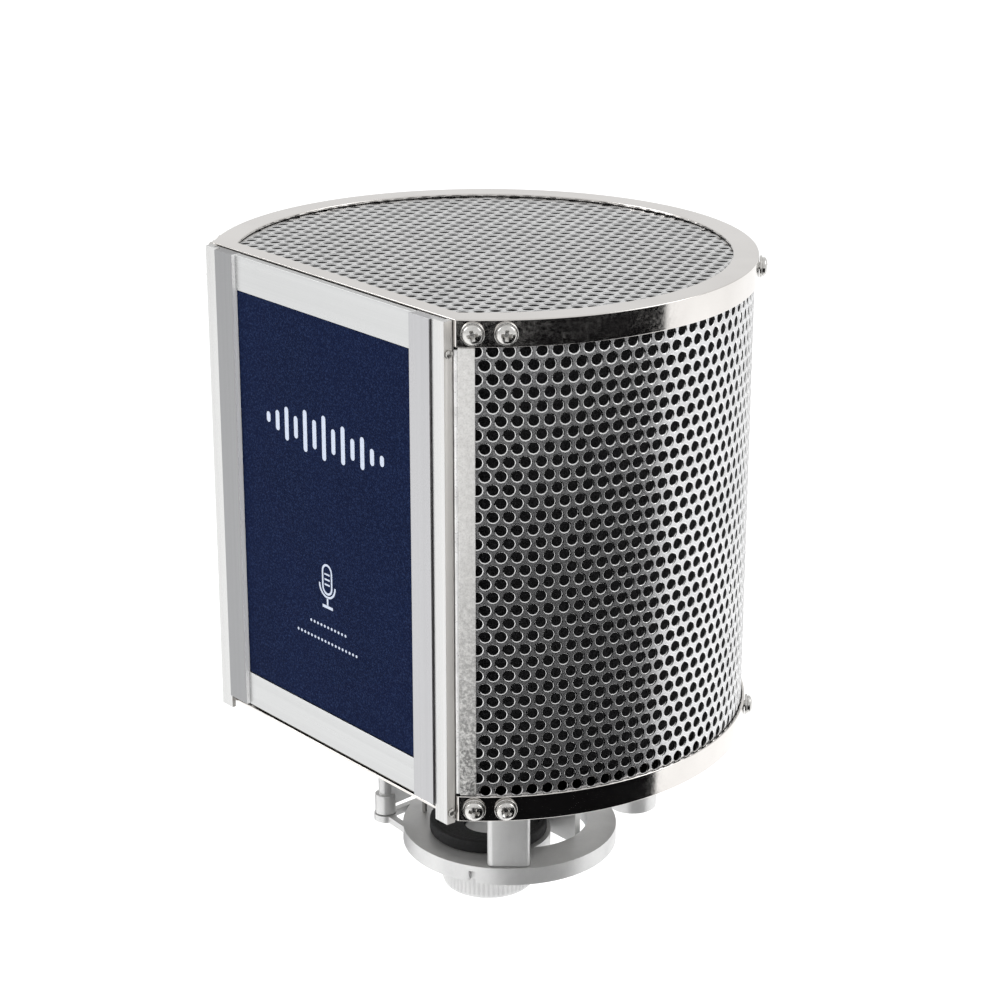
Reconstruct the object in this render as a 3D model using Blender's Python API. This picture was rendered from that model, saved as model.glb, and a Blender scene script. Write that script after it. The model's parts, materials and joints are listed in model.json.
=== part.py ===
"""Microphone isolation shield.

A D-shaped perforated housing lined with foam stands on a short post that screws
onto a microphone stand.  A pop screen slides up out of two aluminium channels at
its flat front, and a cradle below the housing holds the microphone with a
knurled lock nut.

The case frame used for every location below has x to the right seen from the
front, y to the back from the front flange and z up from the housing's lower
edge.  The empty case_origin sets it so that the model's own origin is the
centre of the stand post's lower face.
"""

import math

import bmesh
import bpy
from mathutils import Matrix, Vector

MM = 0.001

# Gap kept between separate pieces.
GAP = 0.3 * MM
# How far a cutter runs past what it cuts.
CUT_MARGIN = 5.0 * MM

# Overall sizes of the housing.
CASE_RADIUS = 110.0 * MM
CASE_CENTRE_Y = 82.0 * MM
CASE_HEIGHT = 200.0 * MM
CASE_FRONT_Y = 4.2 * MM

# Rims that cap the housing above and below.
RIM_THICKNESS = 1.2 * MM
RIM_SKIRT = 10.5 * MM
RIM_FLANGE = 10.3 * MM
RIM_FRONT_BAND = 7.2 * MM

# Perforated sheet, its end plates and the foam behind it.
SHEET_THICKNESS = 1.0 * MM
END_PLATE_SETBACK = 2.6 * MM
FOAM_THICKNESS = 20.0 * MM
FOAM_FRONT_Y = 14.0 * MM
ARC_STEP = math.radians(4.5)

# Folded strip over each upright edge of the perforated sheet.
STRIP_LEAF = 0.8 * MM
STRIP_WIDTH = 6.3 * MM
STRIP_SLOT_DEPTH = 4.0 * MM

# Channel extrusions at the front.
EXTRUSION_INSET = 1.26 * MM
EXTRUSION_LIP_WIDTH = 7.2 * MM
EXTRUSION_WALL = 1.6 * MM
EXTRUSION_LIP = 1.8 * MM
EXTRUSION_BACK_WIDTH = 11.0 * MM
EXTRUSION_STEP_IN = 1.1 * MM
EXTRUSION_OVERHANG = 0.8 * MM
EXTRUSION_TOP_DROP = 0.5 * MM

# Pop screen that slides in the channels.
STILE_PROUD = 0.9 * MM
STILE_LAND = 12.0 * MM
TONGUE_CLEARANCE = 0.6 * MM
SCREEN_BOTTOM_Z = 5.2 * MM
SCREEN_TOP_DROP = 0.7 * MM
RAIL_HEIGHT = 14.5 * MM
RAIL_SETBACK = 0.6 * MM
RAIL_THICKNESS = 2.8 * MM
FABRIC_SETBACK = 0.5 * MM
FABRIC_THICKNESS = 0.7 * MM

# Screws.
HEAD_RADIUS = 3.7 * MM
HEAD_HEIGHT = 2.3 * MM
SHANK_RADIUS = 1.7 * MM
RIM_SCREW_REACH = 7.4 * MM
RIM_SCREW_HOLE_DEPTH = 9.0 * MM
WASHER_RADIUS = 4.4 * MM
WASHER_THICKNESS = 0.9 * MM
NUT_STRIP_THICKNESS = 2.0 * MM
NUT_STRIP_LENGTH = 22.0 * MM
NUT_STRIP_SETBACK = 2.4 * MM
NUT_RADIUS = 4.0 * MM
NUT_THICKNESS = 3.0 * MM
# Room between a nut's six-sided bore and the shank in it.
NUT_BORE_GAP = 0.03 * MM
FRONT_SCREW_ARCS = (6.5 * MM, 18.8 * MM)
REAR_SCREW_ANGLE = math.radians(45.0)
STOP_HEAD_RADIUS = 1.6 * MM
STOP_HEAD_HEIGHT = 1.1 * MM
STOP_SHANK_RADIUS = 0.9 * MM
STOP_REACH = 2.4 * MM
CLAMP_SCREW_DROP = 12.8 * MM

# Post that screws onto the microphone stand, and the bar that spreads its load.
POST_INSET = 12.7 * MM
POST_DROP = 73.0 * MM
POST_RADIUS = 11.0 * MM
POST_SOCKET_RADIUS = 8.8 * MM
POST_SOCKET_DEPTH = 24.0 * MM
INSERT_BORE_RADIUS = 7.4 * MM
INSERT_LENGTH = 20.0 * MM
BAR_WIDTH = 30.0 * MM
BAR_THICKNESS = 3.0 * MM
BAR_FRONT_Y = 112.5 * MM
BASE_SCREW_RADIUS = 3.0 * MM
BASE_HEAD_RADIUS = 5.5 * MM
BASE_HEAD_HEIGHT = 3.4 * MM
BASE_SCREW_LENGTH = 18.0 * MM
BRACKET_SCREW_RADIUS = 1.3 * MM
# Radius of the shank, radius of the head and height of the head.
BRACKET_SCREW = (BRACKET_SCREW_RADIUS, 2.6 * MM, 1.8 * MM)
BRACKET_SCREW_LENGTH = 12.0 * MM
BRACKET_SCREW_BACK = 9.0 * MM

# Microphone opening and the cradle below it.
MIC_Y = 84.0 * MM
MIC_OPENING_RADIUS = 27.0 * MM
CRADLE_Y = 96.0 * MM
CRADLE_RADIUS = 46.5 * MM
CRADLE_TOP_Z = -58.0 * MM
CRADLE_THICKNESS = 7.5 * MM
WINDOW_Y = 101.0 * MM
WINDOW_RADIUS = 30.3 * MM
HUB_RADIUS = 27.0 * MM
MIC_BORE_RADIUS = 10.3 * MM
SEAT_OUTER_RADIUS = 25.4 * MM
SEAT_WALL = 3.0 * MM
SEAT_HEIGHT = 5.5 * MM
PAD_HEIGHT = 2.6 * MM
NUT_KNURL_RADIUS = 20.0 * MM
NUT_KNURL_HEIGHT = 16.5 * MM
NUT_KNURL_TEETH = 36
NUT_KNURL_DEPTH = 0.45 * MM
NOTCH_SIZE = (3.0 * MM, 3.2 * MM, 5.0 * MM)
NOTCH_ANGLE = math.radians(-60.0)

# Uprights between the cradle and the housing.
WIDE_POST_ANGLE = math.radians(-40.7)
WIDE_POST_OFFSET = 42.0 * MM
WIDE_POST_SIZE = (5.4 * MM, 18.0 * MM)
WIDE_POST_FILLET = 2.4 * MM
BACK_PLATE_Y = 113.5 * MM
BACK_PLATE_HALF = 25.0 * MM
BACK_PLATE_THICKNESS = 3.0 * MM
BACK_FOOT_HALF = 12.0 * MM
BACK_FOOT_MARGIN = 3.2 * MM
SIDE_POST_X = -41.0 * MM
SIDE_POST_Y = 59.3 * MM
SIDE_POST_RADIUS = 2.9 * MM
SIDE_BOSS_RADIUS = 4.5 * MM
SIDE_BOSS_HEIGHT = 9.0 * MM
GUSSET_ANGLE = math.radians(52.0)
GUSSET_LENGTH = 13.0 * MM
GUSSET_THICKNESS = 2.6 * MM
GUSSET_RISE = 2.5 * MM
GUSSET_SLOPE = 6.0 * MM
EAR_RADIUS = 5.0 * MM
EAR_THICKNESS = 3.0 * MM
EAR_LEG_WIDTH = 3.0 * MM
EAR_LEG_ANGLES = (math.radians(-166.0), math.radians(-118.0))
CRADLE_SCREW_GRIP = 6.0 * MM
GUIDE_PIN_X = -30.3 * MM
GUIDE_PIN_Y = 72.8 * MM
GUIDE_PIN_RADIUS = 1.1 * MM

# Heights and radii that follow from the sizes above.
SHEET_OUTER_R = CASE_RADIUS - RIM_THICKNESS - GAP
SHEET_INNER_R = SHEET_OUTER_R - SHEET_THICKNESS
FOAM_OUTER_R = SHEET_INNER_R - NUT_STRIP_THICKNESS - NUT_THICKNESS - 2 * GAP
FOAM_INNER_R = FOAM_OUTER_R - FOAM_THICKNESS
END_PLATE_RADIUS = SHEET_INNER_R - NUT_THICKNESS - 2 * GAP
OPENING_RADIUS = CASE_RADIUS - RIM_FLANGE
CASE_CORNER_X = math.sqrt(CASE_RADIUS ** 2 - (CASE_CENTRE_Y - CASE_FRONT_Y) ** 2)
EXTRUSION_OUTER_X = CASE_CORNER_X - EXTRUSION_INSET
POST_Y = CASE_CENTRE_Y + OPENING_RADIUS - POST_INSET
OPENING_FRONT_Y = CASE_FRONT_Y + RIM_FRONT_BAND
PLATE_TOP_Z = CASE_HEIGHT - RIM_THICKNESS - GAP
PLATE_BOTTOM_Z = RIM_THICKNESS + GAP
PLATE_UPPER_FACE = PLATE_BOTTOM_Z + SHEET_THICKNESS
BAR_Z = PLATE_UPPER_FACE + GAP
SCREEN_TOP_Z = CASE_HEIGHT - SCREEN_TOP_DROP
EXTRUSION_LIP_X = EXTRUSION_OUTER_X - EXTRUSION_LIP_WIDTH
CHANNEL_X = EXTRUSION_OUTER_X - EXTRUSION_STEP_IN - EXTRUSION_WALL
CHANNEL_BACK_Y = CASE_FRONT_Y - GAP
STILE_OUTER_X = EXTRUSION_LIP_X - GAP
STILE_INNER_X = STILE_OUTER_X - STILE_LAND
TONGUE_END_X = CHANNEL_X - TONGUE_CLEARANCE
STILE_BACK_Y = CHANNEL_BACK_Y - GAP
RAIL_HALF = STILE_INNER_X - GAP
RAIL_BACK_Y = RAIL_SETBACK + RAIL_THICKNESS
CRADLE_BOTTOM_Z = CRADLE_TOP_Z - CRADLE_THICKNESS
POST_TOP_Z = PLATE_BOTTOM_Z - GAP


def remove_everything():
    """Empty the scene."""
    for obj in list(bpy.data.objects):
        bpy.data.objects.remove(obj, do_unlink=True)


def make_material(name, colour, roughness, metallic):
    """A plain Principled material."""
    material = bpy.data.materials.new(name)
    material.use_nodes = True
    shader = material.node_tree.nodes["Principled BSDF"]
    shader.inputs["Base Color"].default_value = (*colour, 1.0)
    shader.inputs["Roughness"].default_value = roughness
    shader.inputs["Metallic"].default_value = metallic
    return material


def make_materials():
    """Every material of the model, by name."""
    return {
        "nickel": make_material("polished_nickel", (0.72, 0.69, 0.66), 0.12, 1.0),
        "chrome": make_material("chromed_sheet", (0.78, 0.78, 0.79), 0.10, 1.0),
        "aluminium": make_material("anodised_aluminium", (0.80, 0.80, 0.81), 0.38, 1.0),
        "fabric": make_material("navy_fabric", (0.018, 0.027, 0.10), 0.90, 0.0),
        "foam": make_material("black_foam", (0.012, 0.012, 0.013), 0.95, 0.0),
        "casting": make_material("silver_casting", (0.62, 0.62, 0.62), 0.45, 0.6),
        "plastic": make_material("grey_plastic", (0.70, 0.70, 0.70), 0.50, 0.0),
        "rubber": make_material("black_rubber", (0.02, 0.02, 0.02), 0.75, 0.0),
        "steel": make_material("zinc_steel", (0.55, 0.54, 0.52), 0.35, 1.0),
    }


def add_object(name, bm, material, parent):
    """Turn a bmesh into a named object under the case frame."""
    bmesh.ops.recalc_face_normals(bm, faces=bm.faces)
    mesh = bpy.data.meshes.new(name)
    bm.to_mesh(mesh)
    bm.free()
    mesh.materials.append(material)
    obj = bpy.data.objects.new(name, mesh)
    obj.parent = parent
    bpy.context.scene.collection.objects.link(obj)
    return obj


def smooth(obj):
    """Shade the round faces of an object smooth and keep its edges sharp."""
    obj.data.shade_smooth()
    obj.data.set_sharp_from_angle(angle=math.radians(35.0))
    return obj


def cut(obj, bm):
    """Take the solids of a bmesh out of an object."""
    cutter = add_object(obj.name + "_cutter", bm, obj.data.materials[0], obj.parent)
    cutter.hide_render = True
    cutter.display_type = "WIRE"
    modifier = obj.modifiers.new("cut", "BOOLEAN")
    modifier.operation = "DIFFERENCE"
    modifier.solver = "EXACT"
    modifier.object = cutter
    return obj


def join(obj, bm):
    """Add the solid of a bmesh to an object."""
    other = add_object(obj.name + "_addition", bm, obj.data.materials[0], obj.parent)
    other.hide_render = True
    other.display_type = "WIRE"
    modifier = obj.modifiers.new("join", "BOOLEAN")
    modifier.operation = "UNION"
    modifier.solver = "EXACT"
    modifier.object = other
    return obj


def add_prism(bm, outline, z_low, z_high, place=None):
    """Add the prism over a closed outline of (x, y) points."""
    place = place or Matrix.Identity(4)
    low = [bm.verts.new(place @ Vector((x, y, z_low))) for x, y in outline]
    high = [bm.verts.new(place @ Vector((x, y, z_high))) for x, y in outline]
    bm.faces.new(low)
    bm.faces.new(high)
    count = len(outline)
    for i in range(count):
        j = (i + 1) % count
        bm.faces.new((low[i], low[j], high[j], high[i]))


def prism(outline, z_low, z_high):
    """A bmesh holding one prism."""
    bm = bmesh.new()
    add_prism(bm, outline, z_low, z_high)
    return bm


def box_outline(x_low, x_high, y_low, y_high):
    """The four corners of a rectangle."""
    return [(x_low, y_low), (x_high, y_low), (x_high, y_high), (x_low, y_high)]


def arc_points(radius, start, end, centre=(0.0, 0.0), step=ARC_STEP):
    """Points on an arc, both ends included."""
    count = max(1, math.ceil(abs(end - start) / step - 1e-6))
    angles = [start + (end - start) * i / count for i in range(count + 1)]
    return [(centre[0] + radius * math.cos(a), centre[1] + radius * math.sin(a)) for a in angles]


def circle_points(radius, centre=(0.0, 0.0), count=32):
    """Points round a full circle."""
    return arc_points(radius, 0.0, math.tau, centre, math.tau / count)[:-1]


def add_turned(bm, profile, place=None, segments=16, hollow=False):
    """Add a turned solid: profile of (radius, height) points about local z.

    A solid profile runs from its lower face to its upper face.  A hollow one is
    a closed loop, and leaves the middle open.
    """
    place = place or Matrix.Identity(4)
    rings = []
    for radius, height in profile:
        ring = []
        for i in range(segments):
            angle = math.tau * i / segments
            point = Vector((radius * math.cos(angle), radius * math.sin(angle), height))
            ring.append(bm.verts.new(place @ point))
        rings.append(ring)
    pairs = list(zip(rings, rings[1:]))
    if hollow:
        pairs.append((rings[-1], rings[0]))
    else:
        bm.faces.new(rings[0])
        bm.faces.new(rings[-1])
    for lower, upper in pairs:
        for i in range(segments):
            j = (i + 1) % segments
            bm.faces.new((lower[i], lower[j], upper[j], upper[i]))


def add_tube(bm, inner, outer, z_low, z_high, place=None, segments=32):
    """Add a plain ring."""
    profile = [(inner, z_low), (outer, z_low), (outer, z_high), (inner, z_high)]
    add_turned(bm, profile, place, segments, hollow=True)


def chord_angle(radius, front_y):
    """How far below the x axis an arc about the case centre meets a front line."""
    return math.asin((CASE_CENTRE_Y - front_y) / radius)


def case_arc(radius, front_y, step=ARC_STEP):
    """The round back of the case at one radius, from right front to left front."""
    reach = chord_angle(radius, front_y)
    return arc_points(radius, -reach, math.pi + reach, (0.0, CASE_CENTRE_Y), step)


def case_band(inner, outer, front_y):
    """A C-shaped outline between two radii of the case, its ends on one front line."""
    return case_arc(outer, front_y) + case_arc(inner, front_y)[::-1]


def around_case(radius, angle, height):
    """Placement with local z pointing straight out of the case wall."""
    spot = Matrix.Translation((radius * math.cos(angle), CASE_CENTRE_Y + radius * math.sin(angle), height))
    turn = Matrix.Rotation(angle, 4, "Z") @ Matrix.Rotation(math.radians(90.0), 4, "Y")
    return spot @ turn


def rim_screw_angles():
    """Angles of the six screws in one rim."""
    reach = chord_angle(CASE_RADIUS, CASE_FRONT_Y)
    right = [arc / CASE_RADIUS - reach for arc in FRONT_SCREW_ARCS] + [REAR_SCREW_ANGLE]
    return right + [math.pi - angle for angle in right]


def rim_screw_height(upper):
    """Height of the screws in the middle of one rim's skirt."""
    return CASE_HEIGHT - RIM_SKIRT / 2 if upper else RIM_SKIRT / 2


def rim_screw_places(upper, radius):
    """Placements of one rim's screws at a given radius."""
    return [around_case(radius, angle, rim_screw_height(upper)) for angle in rim_screw_angles()]


def rim_screw_holes():
    """Cutters through the rims' skirts, the sheet and what is behind it."""
    bm = bmesh.new()
    for upper in (True, False):
        for place in rim_screw_places(upper, CASE_RADIUS):
            profile = [(SHANK_RADIUS + GAP, -RIM_SCREW_HOLE_DEPTH), (SHANK_RADIUS + GAP, CUT_MARGIN)]
            add_turned(bm, profile, place, 12)
    return bm


def build_rim(name, upper, mats, parent):
    """One rim: a flat D-shaped frame with a skirt round its curved side."""
    low, high = (CASE_HEIGHT - RIM_SKIRT, CASE_HEIGHT) if upper else (0.0, RIM_SKIRT)
    rim = add_object(name, prism(case_arc(CASE_RADIUS, CASE_FRONT_Y), low, high), mats["nickel"], parent)
    inner = case_arc(CASE_RADIUS - RIM_THICKNESS, CASE_FRONT_Y)
    inner = [(inner[-1][0], -CUT_MARGIN), (inner[0][0], -CUT_MARGIN)] + inner
    if upper:
        cut(rim, prism(inner, low - CUT_MARGIN, high - RIM_THICKNESS))
    else:
        cut(rim, prism(inner, low + RIM_THICKNESS, high + CUT_MARGIN))
    cut(rim, prism(case_arc(OPENING_RADIUS, OPENING_FRONT_Y), low - CUT_MARGIN, high + CUT_MARGIN))
    cut(rim, rim_screw_holes())
    return smooth(rim)


def build_shell(mats, parent):
    """The curved perforated sheet, its holes left out."""
    start = strip_angles()[1] + GAP / SHEET_INNER_R
    end = math.pi - start
    centre = (0.0, CASE_CENTRE_Y)
    outline = arc_points(SHEET_OUTER_R, start, end, centre) + arc_points(SHEET_INNER_R, end, start, centre)
    sheet = prism(outline, PLATE_BOTTOM_Z, PLATE_TOP_Z)
    shell = add_object("perforated_shell", sheet, mats["chrome"], parent)
    cut(shell, rim_screw_holes())
    return smooth(shell)


def strip_angles():
    """Where an edge strip starts, where its slot starts and where it ends."""
    start = -chord_angle(CASE_RADIUS, CASE_FRONT_Y + 2 * GAP)
    slot = start + (STRIP_WIDTH - STRIP_SLOT_DEPTH) / CASE_RADIUS
    return start, slot, start + STRIP_WIDTH / CASE_RADIUS


def build_edge_strip(name, side, mats, parent):
    """The folded strip over one upright edge of the perforated sheet."""
    start, slot, end = strip_angles()
    step = math.radians(2.0)
    outer_r = SHEET_OUTER_R + GAP + STRIP_LEAF
    inner_r = SHEET_INNER_R - GAP - STRIP_LEAF
    centre = (0.0, CASE_CENTRE_Y)
    outline = arc_points(outer_r, start, end, centre, step)
    outline += arc_points(SHEET_OUTER_R + GAP, end, slot, centre, step)
    outline += arc_points(SHEET_INNER_R - GAP, slot, end, centre, step)
    outline += arc_points(inner_r, end, start, centre, step)
    outline = [(side * x, y) for x, y in outline]
    bm = prism(outline, RIM_SKIRT + GAP, CASE_HEIGHT - RIM_SKIRT - GAP)
    return add_object(name, bm, mats["steel"], parent)


def build_end_plates(mats, parent):
    """The perforated sheet under the top rim and the plate over the bottom one."""
    outline = case_arc(END_PLATE_RADIUS, CASE_FRONT_Y + END_PLATE_SETBACK)
    top = prism(outline, PLATE_TOP_Z - SHEET_THICKNESS, PLATE_TOP_Z)
    add_object("top_grille", top, mats["chrome"], parent)
    bottom = add_object(
        "bottom_plate", prism(outline, PLATE_BOTTOM_Z, PLATE_UPPER_FACE), mats["steel"], parent
    )
    cut(bottom, prism(circle_points(MIC_OPENING_RADIUS, (0.0, MIC_Y)), -RIM_SKIRT, RIM_SKIRT))
    cut(bottom, upright_holes(-RIM_SKIRT, RIM_SKIRT))
    cut(bottom, stand_screw_hole(-RIM_SKIRT, RIM_SKIRT))


def build_foam(mats, parent):
    """The foam lining of the curved wall and of the top."""
    band = case_band(FOAM_INNER_R, FOAM_OUTER_R, FOAM_FRONT_Y)
    low = BAR_Z + BAR_THICKNESS + BASE_HEAD_HEIGHT + 2 * GAP
    high = PLATE_TOP_Z - SHEET_THICKNESS - GAP
    smooth(add_object("foam_liner", prism(band, low, high), mats["foam"], parent))
    disc = case_arc(FOAM_INNER_R - GAP, FOAM_FRONT_Y)
    add_object("top_foam", prism(disc, high - FOAM_THICKNESS, high), mats["foam"], parent)


def build_extrusion(name, side, mats, parent):
    """One upright channel: front lip, side wall and back lip."""
    inner_step_x = EXTRUSION_OUTER_X - EXTRUSION_STEP_IN
    back_y = CHANNEL_BACK_Y + EXTRUSION_WALL
    outline = [
        (EXTRUSION_LIP_X, 0.0),
        (EXTRUSION_OUTER_X, 0.0),
        (EXTRUSION_OUTER_X, CHANNEL_BACK_Y),
        (inner_step_x, CHANNEL_BACK_Y),
        (inner_step_x, back_y),
        (inner_step_x - EXTRUSION_BACK_WIDTH, back_y),
        (inner_step_x - EXTRUSION_BACK_WIDTH, CHANNEL_BACK_Y),
        (CHANNEL_X, CHANNEL_BACK_Y),
        (CHANNEL_X, EXTRUSION_LIP),
        (EXTRUSION_LIP_X, EXTRUSION_LIP),
    ]
    outline = [(side * x, y) for x, y in outline]
    top = CASE_HEIGHT - EXTRUSION_TOP_DROP
    bm = prism(outline, -EXTRUSION_OVERHANG, top)
    extrusion = add_object(name, bm, mats["aluminium"], parent)
    ends = bmesh.new()
    inner_end = inner_step_x - EXTRUSION_BACK_WIDTH - CUT_MARGIN
    x_low, x_high = sorted((side * inner_end, side * (EXTRUSION_OUTER_X + CUT_MARGIN)))
    back = box_outline(x_low, x_high, CHANNEL_BACK_Y, back_y + CUT_MARGIN)
    add_prism(ends, back, PLATE_TOP_Z, top + CUT_MARGIN)
    add_prism(ends, back, -CUT_MARGIN, PLATE_BOTTOM_Z)
    cut(extrusion, ends)
    holes = bmesh.new()
    hole_r = STOP_SHANK_RADIUS + GAP
    depth = EXTRUSION_OUTER_X - CHANNEL_X + STOP_REACH + GAP
    for place in side_screw_places(side):
        add_turned(holes, [(hole_r, -depth), (hole_r, CUT_MARGIN)], place, 12)
    cut(extrusion, holes)
    return extrusion


def side_screw_places(side):
    """Placements of the two screws in one extrusion's side, local z pointing out."""
    heights = (SCREEN_BOTTOM_Z - GAP - STOP_SHANK_RADIUS, CASE_HEIGHT - CLAMP_SCREW_DROP)
    screw_y = CASE_FRONT_Y - 2 * GAP - STOP_HEAD_RADIUS
    turn = Matrix.Rotation(side * math.radians(90.0), 4, "Y")
    return [Matrix.Translation((side * EXTRUSION_OUTER_X, screw_y, z)) @ turn for z in heights]


def build_side_screws(side, label, mats, parent):
    """The stop screw the pop screen rests on and the clamp screw above it."""
    wall = EXTRUSION_OUTER_X - CHANNEL_X
    reaches = (("stop_screw_", wall + STOP_REACH), ("clamp_screw_", wall))
    for place, (name, reach) in zip(side_screw_places(side), reaches):
        profile = [
            (STOP_SHANK_RADIUS, -reach),
            (STOP_SHANK_RADIUS, GAP),
            (STOP_HEAD_RADIUS, GAP),
            (STOP_HEAD_RADIUS * 0.95, GAP + STOP_HEAD_HEIGHT * 0.6),
            (STOP_HEAD_RADIUS * 0.6, GAP + STOP_HEAD_HEIGHT),
        ]
        bm = bmesh.new()
        add_turned(bm, profile, place, 12)
        smooth(add_object(name + label, bm, mats["steel"], parent))


def build_rim_fasteners(mats, parent):
    """The screws of both rims with their captive washers, and what they screw into."""
    washer_top = GAP + WASHER_THICKNESS
    profile = [
        (SHANK_RADIUS, -RIM_SCREW_REACH),
        (SHANK_RADIUS, GAP),
        (WASHER_RADIUS, GAP),
        (WASHER_RADIUS, washer_top),
        (HEAD_RADIUS, washer_top),
        (HEAD_RADIUS, washer_top + HEAD_HEIGHT * 0.35),
        (HEAD_RADIUS * 0.82, washer_top + HEAD_HEIGHT * 0.8),
        (HEAD_RADIUS * 0.45, washer_top + HEAD_HEIGHT),
    ]
    for upper, label in ((True, "top"), (False, "bottom")):
        for number, place in enumerate(rim_screw_places(upper, CASE_RADIUS), 1):
            bm = bmesh.new()
            add_turned(bm, profile, place, 16)
            smooth(add_object(f"rim_screw_{label}_{number}", bm, mats["steel"], parent))
        build_nut_strips(upper, label, mats, parent)
        build_rear_nuts(upper, label, mats, parent)


def build_nut_strips(upper, label, mats, parent):
    """Threaded strips behind the sheet at the front corners of one rim."""
    outer_r = SHEET_INNER_R - GAP - STRIP_LEAF - GAP
    inner_r = outer_r - NUT_STRIP_THICKNESS
    start = NUT_STRIP_SETBACK / CASE_RADIUS - chord_angle(CASE_RADIUS, CASE_FRONT_Y)
    end = start + NUT_STRIP_LENGTH / CASE_RADIUS
    centre = (0.0, CASE_CENTRE_Y)
    half = RIM_SKIRT / 2 - RIM_THICKNESS - SHEET_THICKNESS - 2 * GAP
    middle = rim_screw_height(upper)
    for side, where in ((1, "right"), (-1, "left")):
        outline = arc_points(outer_r, start, end, centre) + arc_points(inner_r, end, start, centre)
        outline = [(side * x, y) for x, y in outline]
        bm = prism(outline, middle - half, middle + half)
        strip = add_object(f"nut_strip_{label}_{where}", bm, mats["steel"], parent)
        cut(strip, rim_screw_holes())


def build_rear_nuts(upper, label, mats, parent):
    """Hexagon nuts of the two screws at the back of one rim."""
    bore = (SHANK_RADIUS + NUT_BORE_GAP) / math.cos(math.pi / 6)
    profile = [(bore, -NUT_THICKNESS), (NUT_RADIUS, -NUT_THICKNESS), (NUT_RADIUS, 0.0), (bore, 0.0)]
    for angle, where in ((REAR_SCREW_ANGLE, "right"), (math.pi - REAR_SCREW_ANGLE, "left")):
        bm = bmesh.new()
        place = around_case(SHEET_INNER_R - GAP, angle, rim_screw_height(upper))
        add_turned(bm, profile, place, 6, hollow=True)
        add_object(f"rear_nut_{label}_{where}", bm, mats["steel"], parent)


def build_stile(name, side, mats, parent):
    """One upright of the pop screen, with the tongue that runs in the channel."""
    tongue_front = EXTRUSION_LIP + GAP
    outline = [
        (STILE_INNER_X, -STILE_PROUD),
        (STILE_OUTER_X, -STILE_PROUD),
        (STILE_OUTER_X, tongue_front),
        (TONGUE_END_X, tongue_front),
        (TONGUE_END_X, STILE_BACK_Y),
        (STILE_INNER_X, STILE_BACK_Y),
    ]
    outline = [(side * x, y) for x, y in outline]
    return add_object(name, prism(outline, SCREEN_BOTTOM_Z, SCREEN_TOP_Z), mats["aluminium"], parent)


def build_screen(mats, parent):
    """The pop screen: two stiles, two rails and two layers of fabric."""
    slider = bpy.data.objects.new("pop_screen_origin", None)
    slider.location = (0.0, 0.0, SCREEN_BOTTOM_Z)
    slider.parent = parent
    bpy.context.scene.collection.objects.link(slider)
    build_stile("screen_stile_right", 1, mats, parent)
    build_stile("screen_stile_left", -1, mats, parent)
    rail = box_outline(-RAIL_HALF, RAIL_HALF, RAIL_SETBACK, RAIL_BACK_Y)
    top_rail = prism(rail, SCREEN_TOP_Z - RAIL_HEIGHT, SCREEN_TOP_Z)
    bottom_rail = prism(rail, SCREEN_BOTTOM_Z, SCREEN_BOTTOM_Z + RAIL_HEIGHT)
    low = SCREEN_BOTTOM_Z + RAIL_HEIGHT + GAP
    high = SCREEN_TOP_Z - RAIL_HEIGHT - GAP
    front_y = RAIL_SETBACK + FABRIC_SETBACK
    back_y = RAIL_BACK_Y - FABRIC_SETBACK
    front = box_outline(-RAIL_HALF, RAIL_HALF, front_y, front_y + FABRIC_THICKNESS)
    back = box_outline(-RAIL_HALF, RAIL_HALF, back_y - FABRIC_THICKNESS, back_y)
    pieces = [
        add_object("screen_top_rail", top_rail, mats["aluminium"], parent),
        add_object("screen_bottom_rail", bottom_rail, mats["aluminium"], parent),
        add_object("screen_front_fabric", prism(front, low, high), mats["fabric"], parent),
        add_object("screen_back_fabric", prism(back, low, high), mats["foam"], parent),
        bpy.data.objects["screen_stile_right"],
        bpy.data.objects["screen_stile_left"],
    ]
    for piece in pieces:
        piece.parent = slider
        piece.matrix_parent_inverse = Matrix.Translation(-slider.location)


def bracket_screw_spots():
    """Plan positions of the small screws that hold the cradle's uprights to the base."""
    return {
        "back": (0.0, BACK_PLATE_Y + BRACKET_SCREW_BACK),
        "wide": cradle_point(WIDE_POST_OFFSET, WIDE_POST_ANGLE),
        "side": (SIDE_POST_X, SIDE_POST_Y),
    }


def upright_holes(z_low, z_high):
    """Cutters for the small screws between two heights."""
    bm = bmesh.new()
    for spot in bracket_screw_spots().values():
        add_prism(bm, circle_points(BRACKET_SCREW_RADIUS + GAP, spot, 12), z_low, z_high)
    return bm


def stand_screw_hole(z_low, z_high):
    """Cutter for the screw in the stand post."""
    return prism(circle_points(BASE_SCREW_RADIUS + GAP, (0.0, POST_Y), 16), z_low, z_high)


def add_screw(bm, spot, seat, sizes, length, downwards=True):
    """Add a pan-head screw whose head sits at a height and whose shank goes down or up."""
    shank_r, head_r, head_h = sizes
    way = 1 if downwards else -1
    profile = [
        (shank_r, -length),
        (shank_r, 0.0),
        (head_r, 0.0),
        (head_r * 0.9, head_h * 0.6),
        (head_r * 0.5, head_h),
    ]
    place = Matrix.Translation((*spot, seat)) @ Matrix.Diagonal((1, 1, way, 1))
    add_turned(bm, profile, place, 16)


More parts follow.
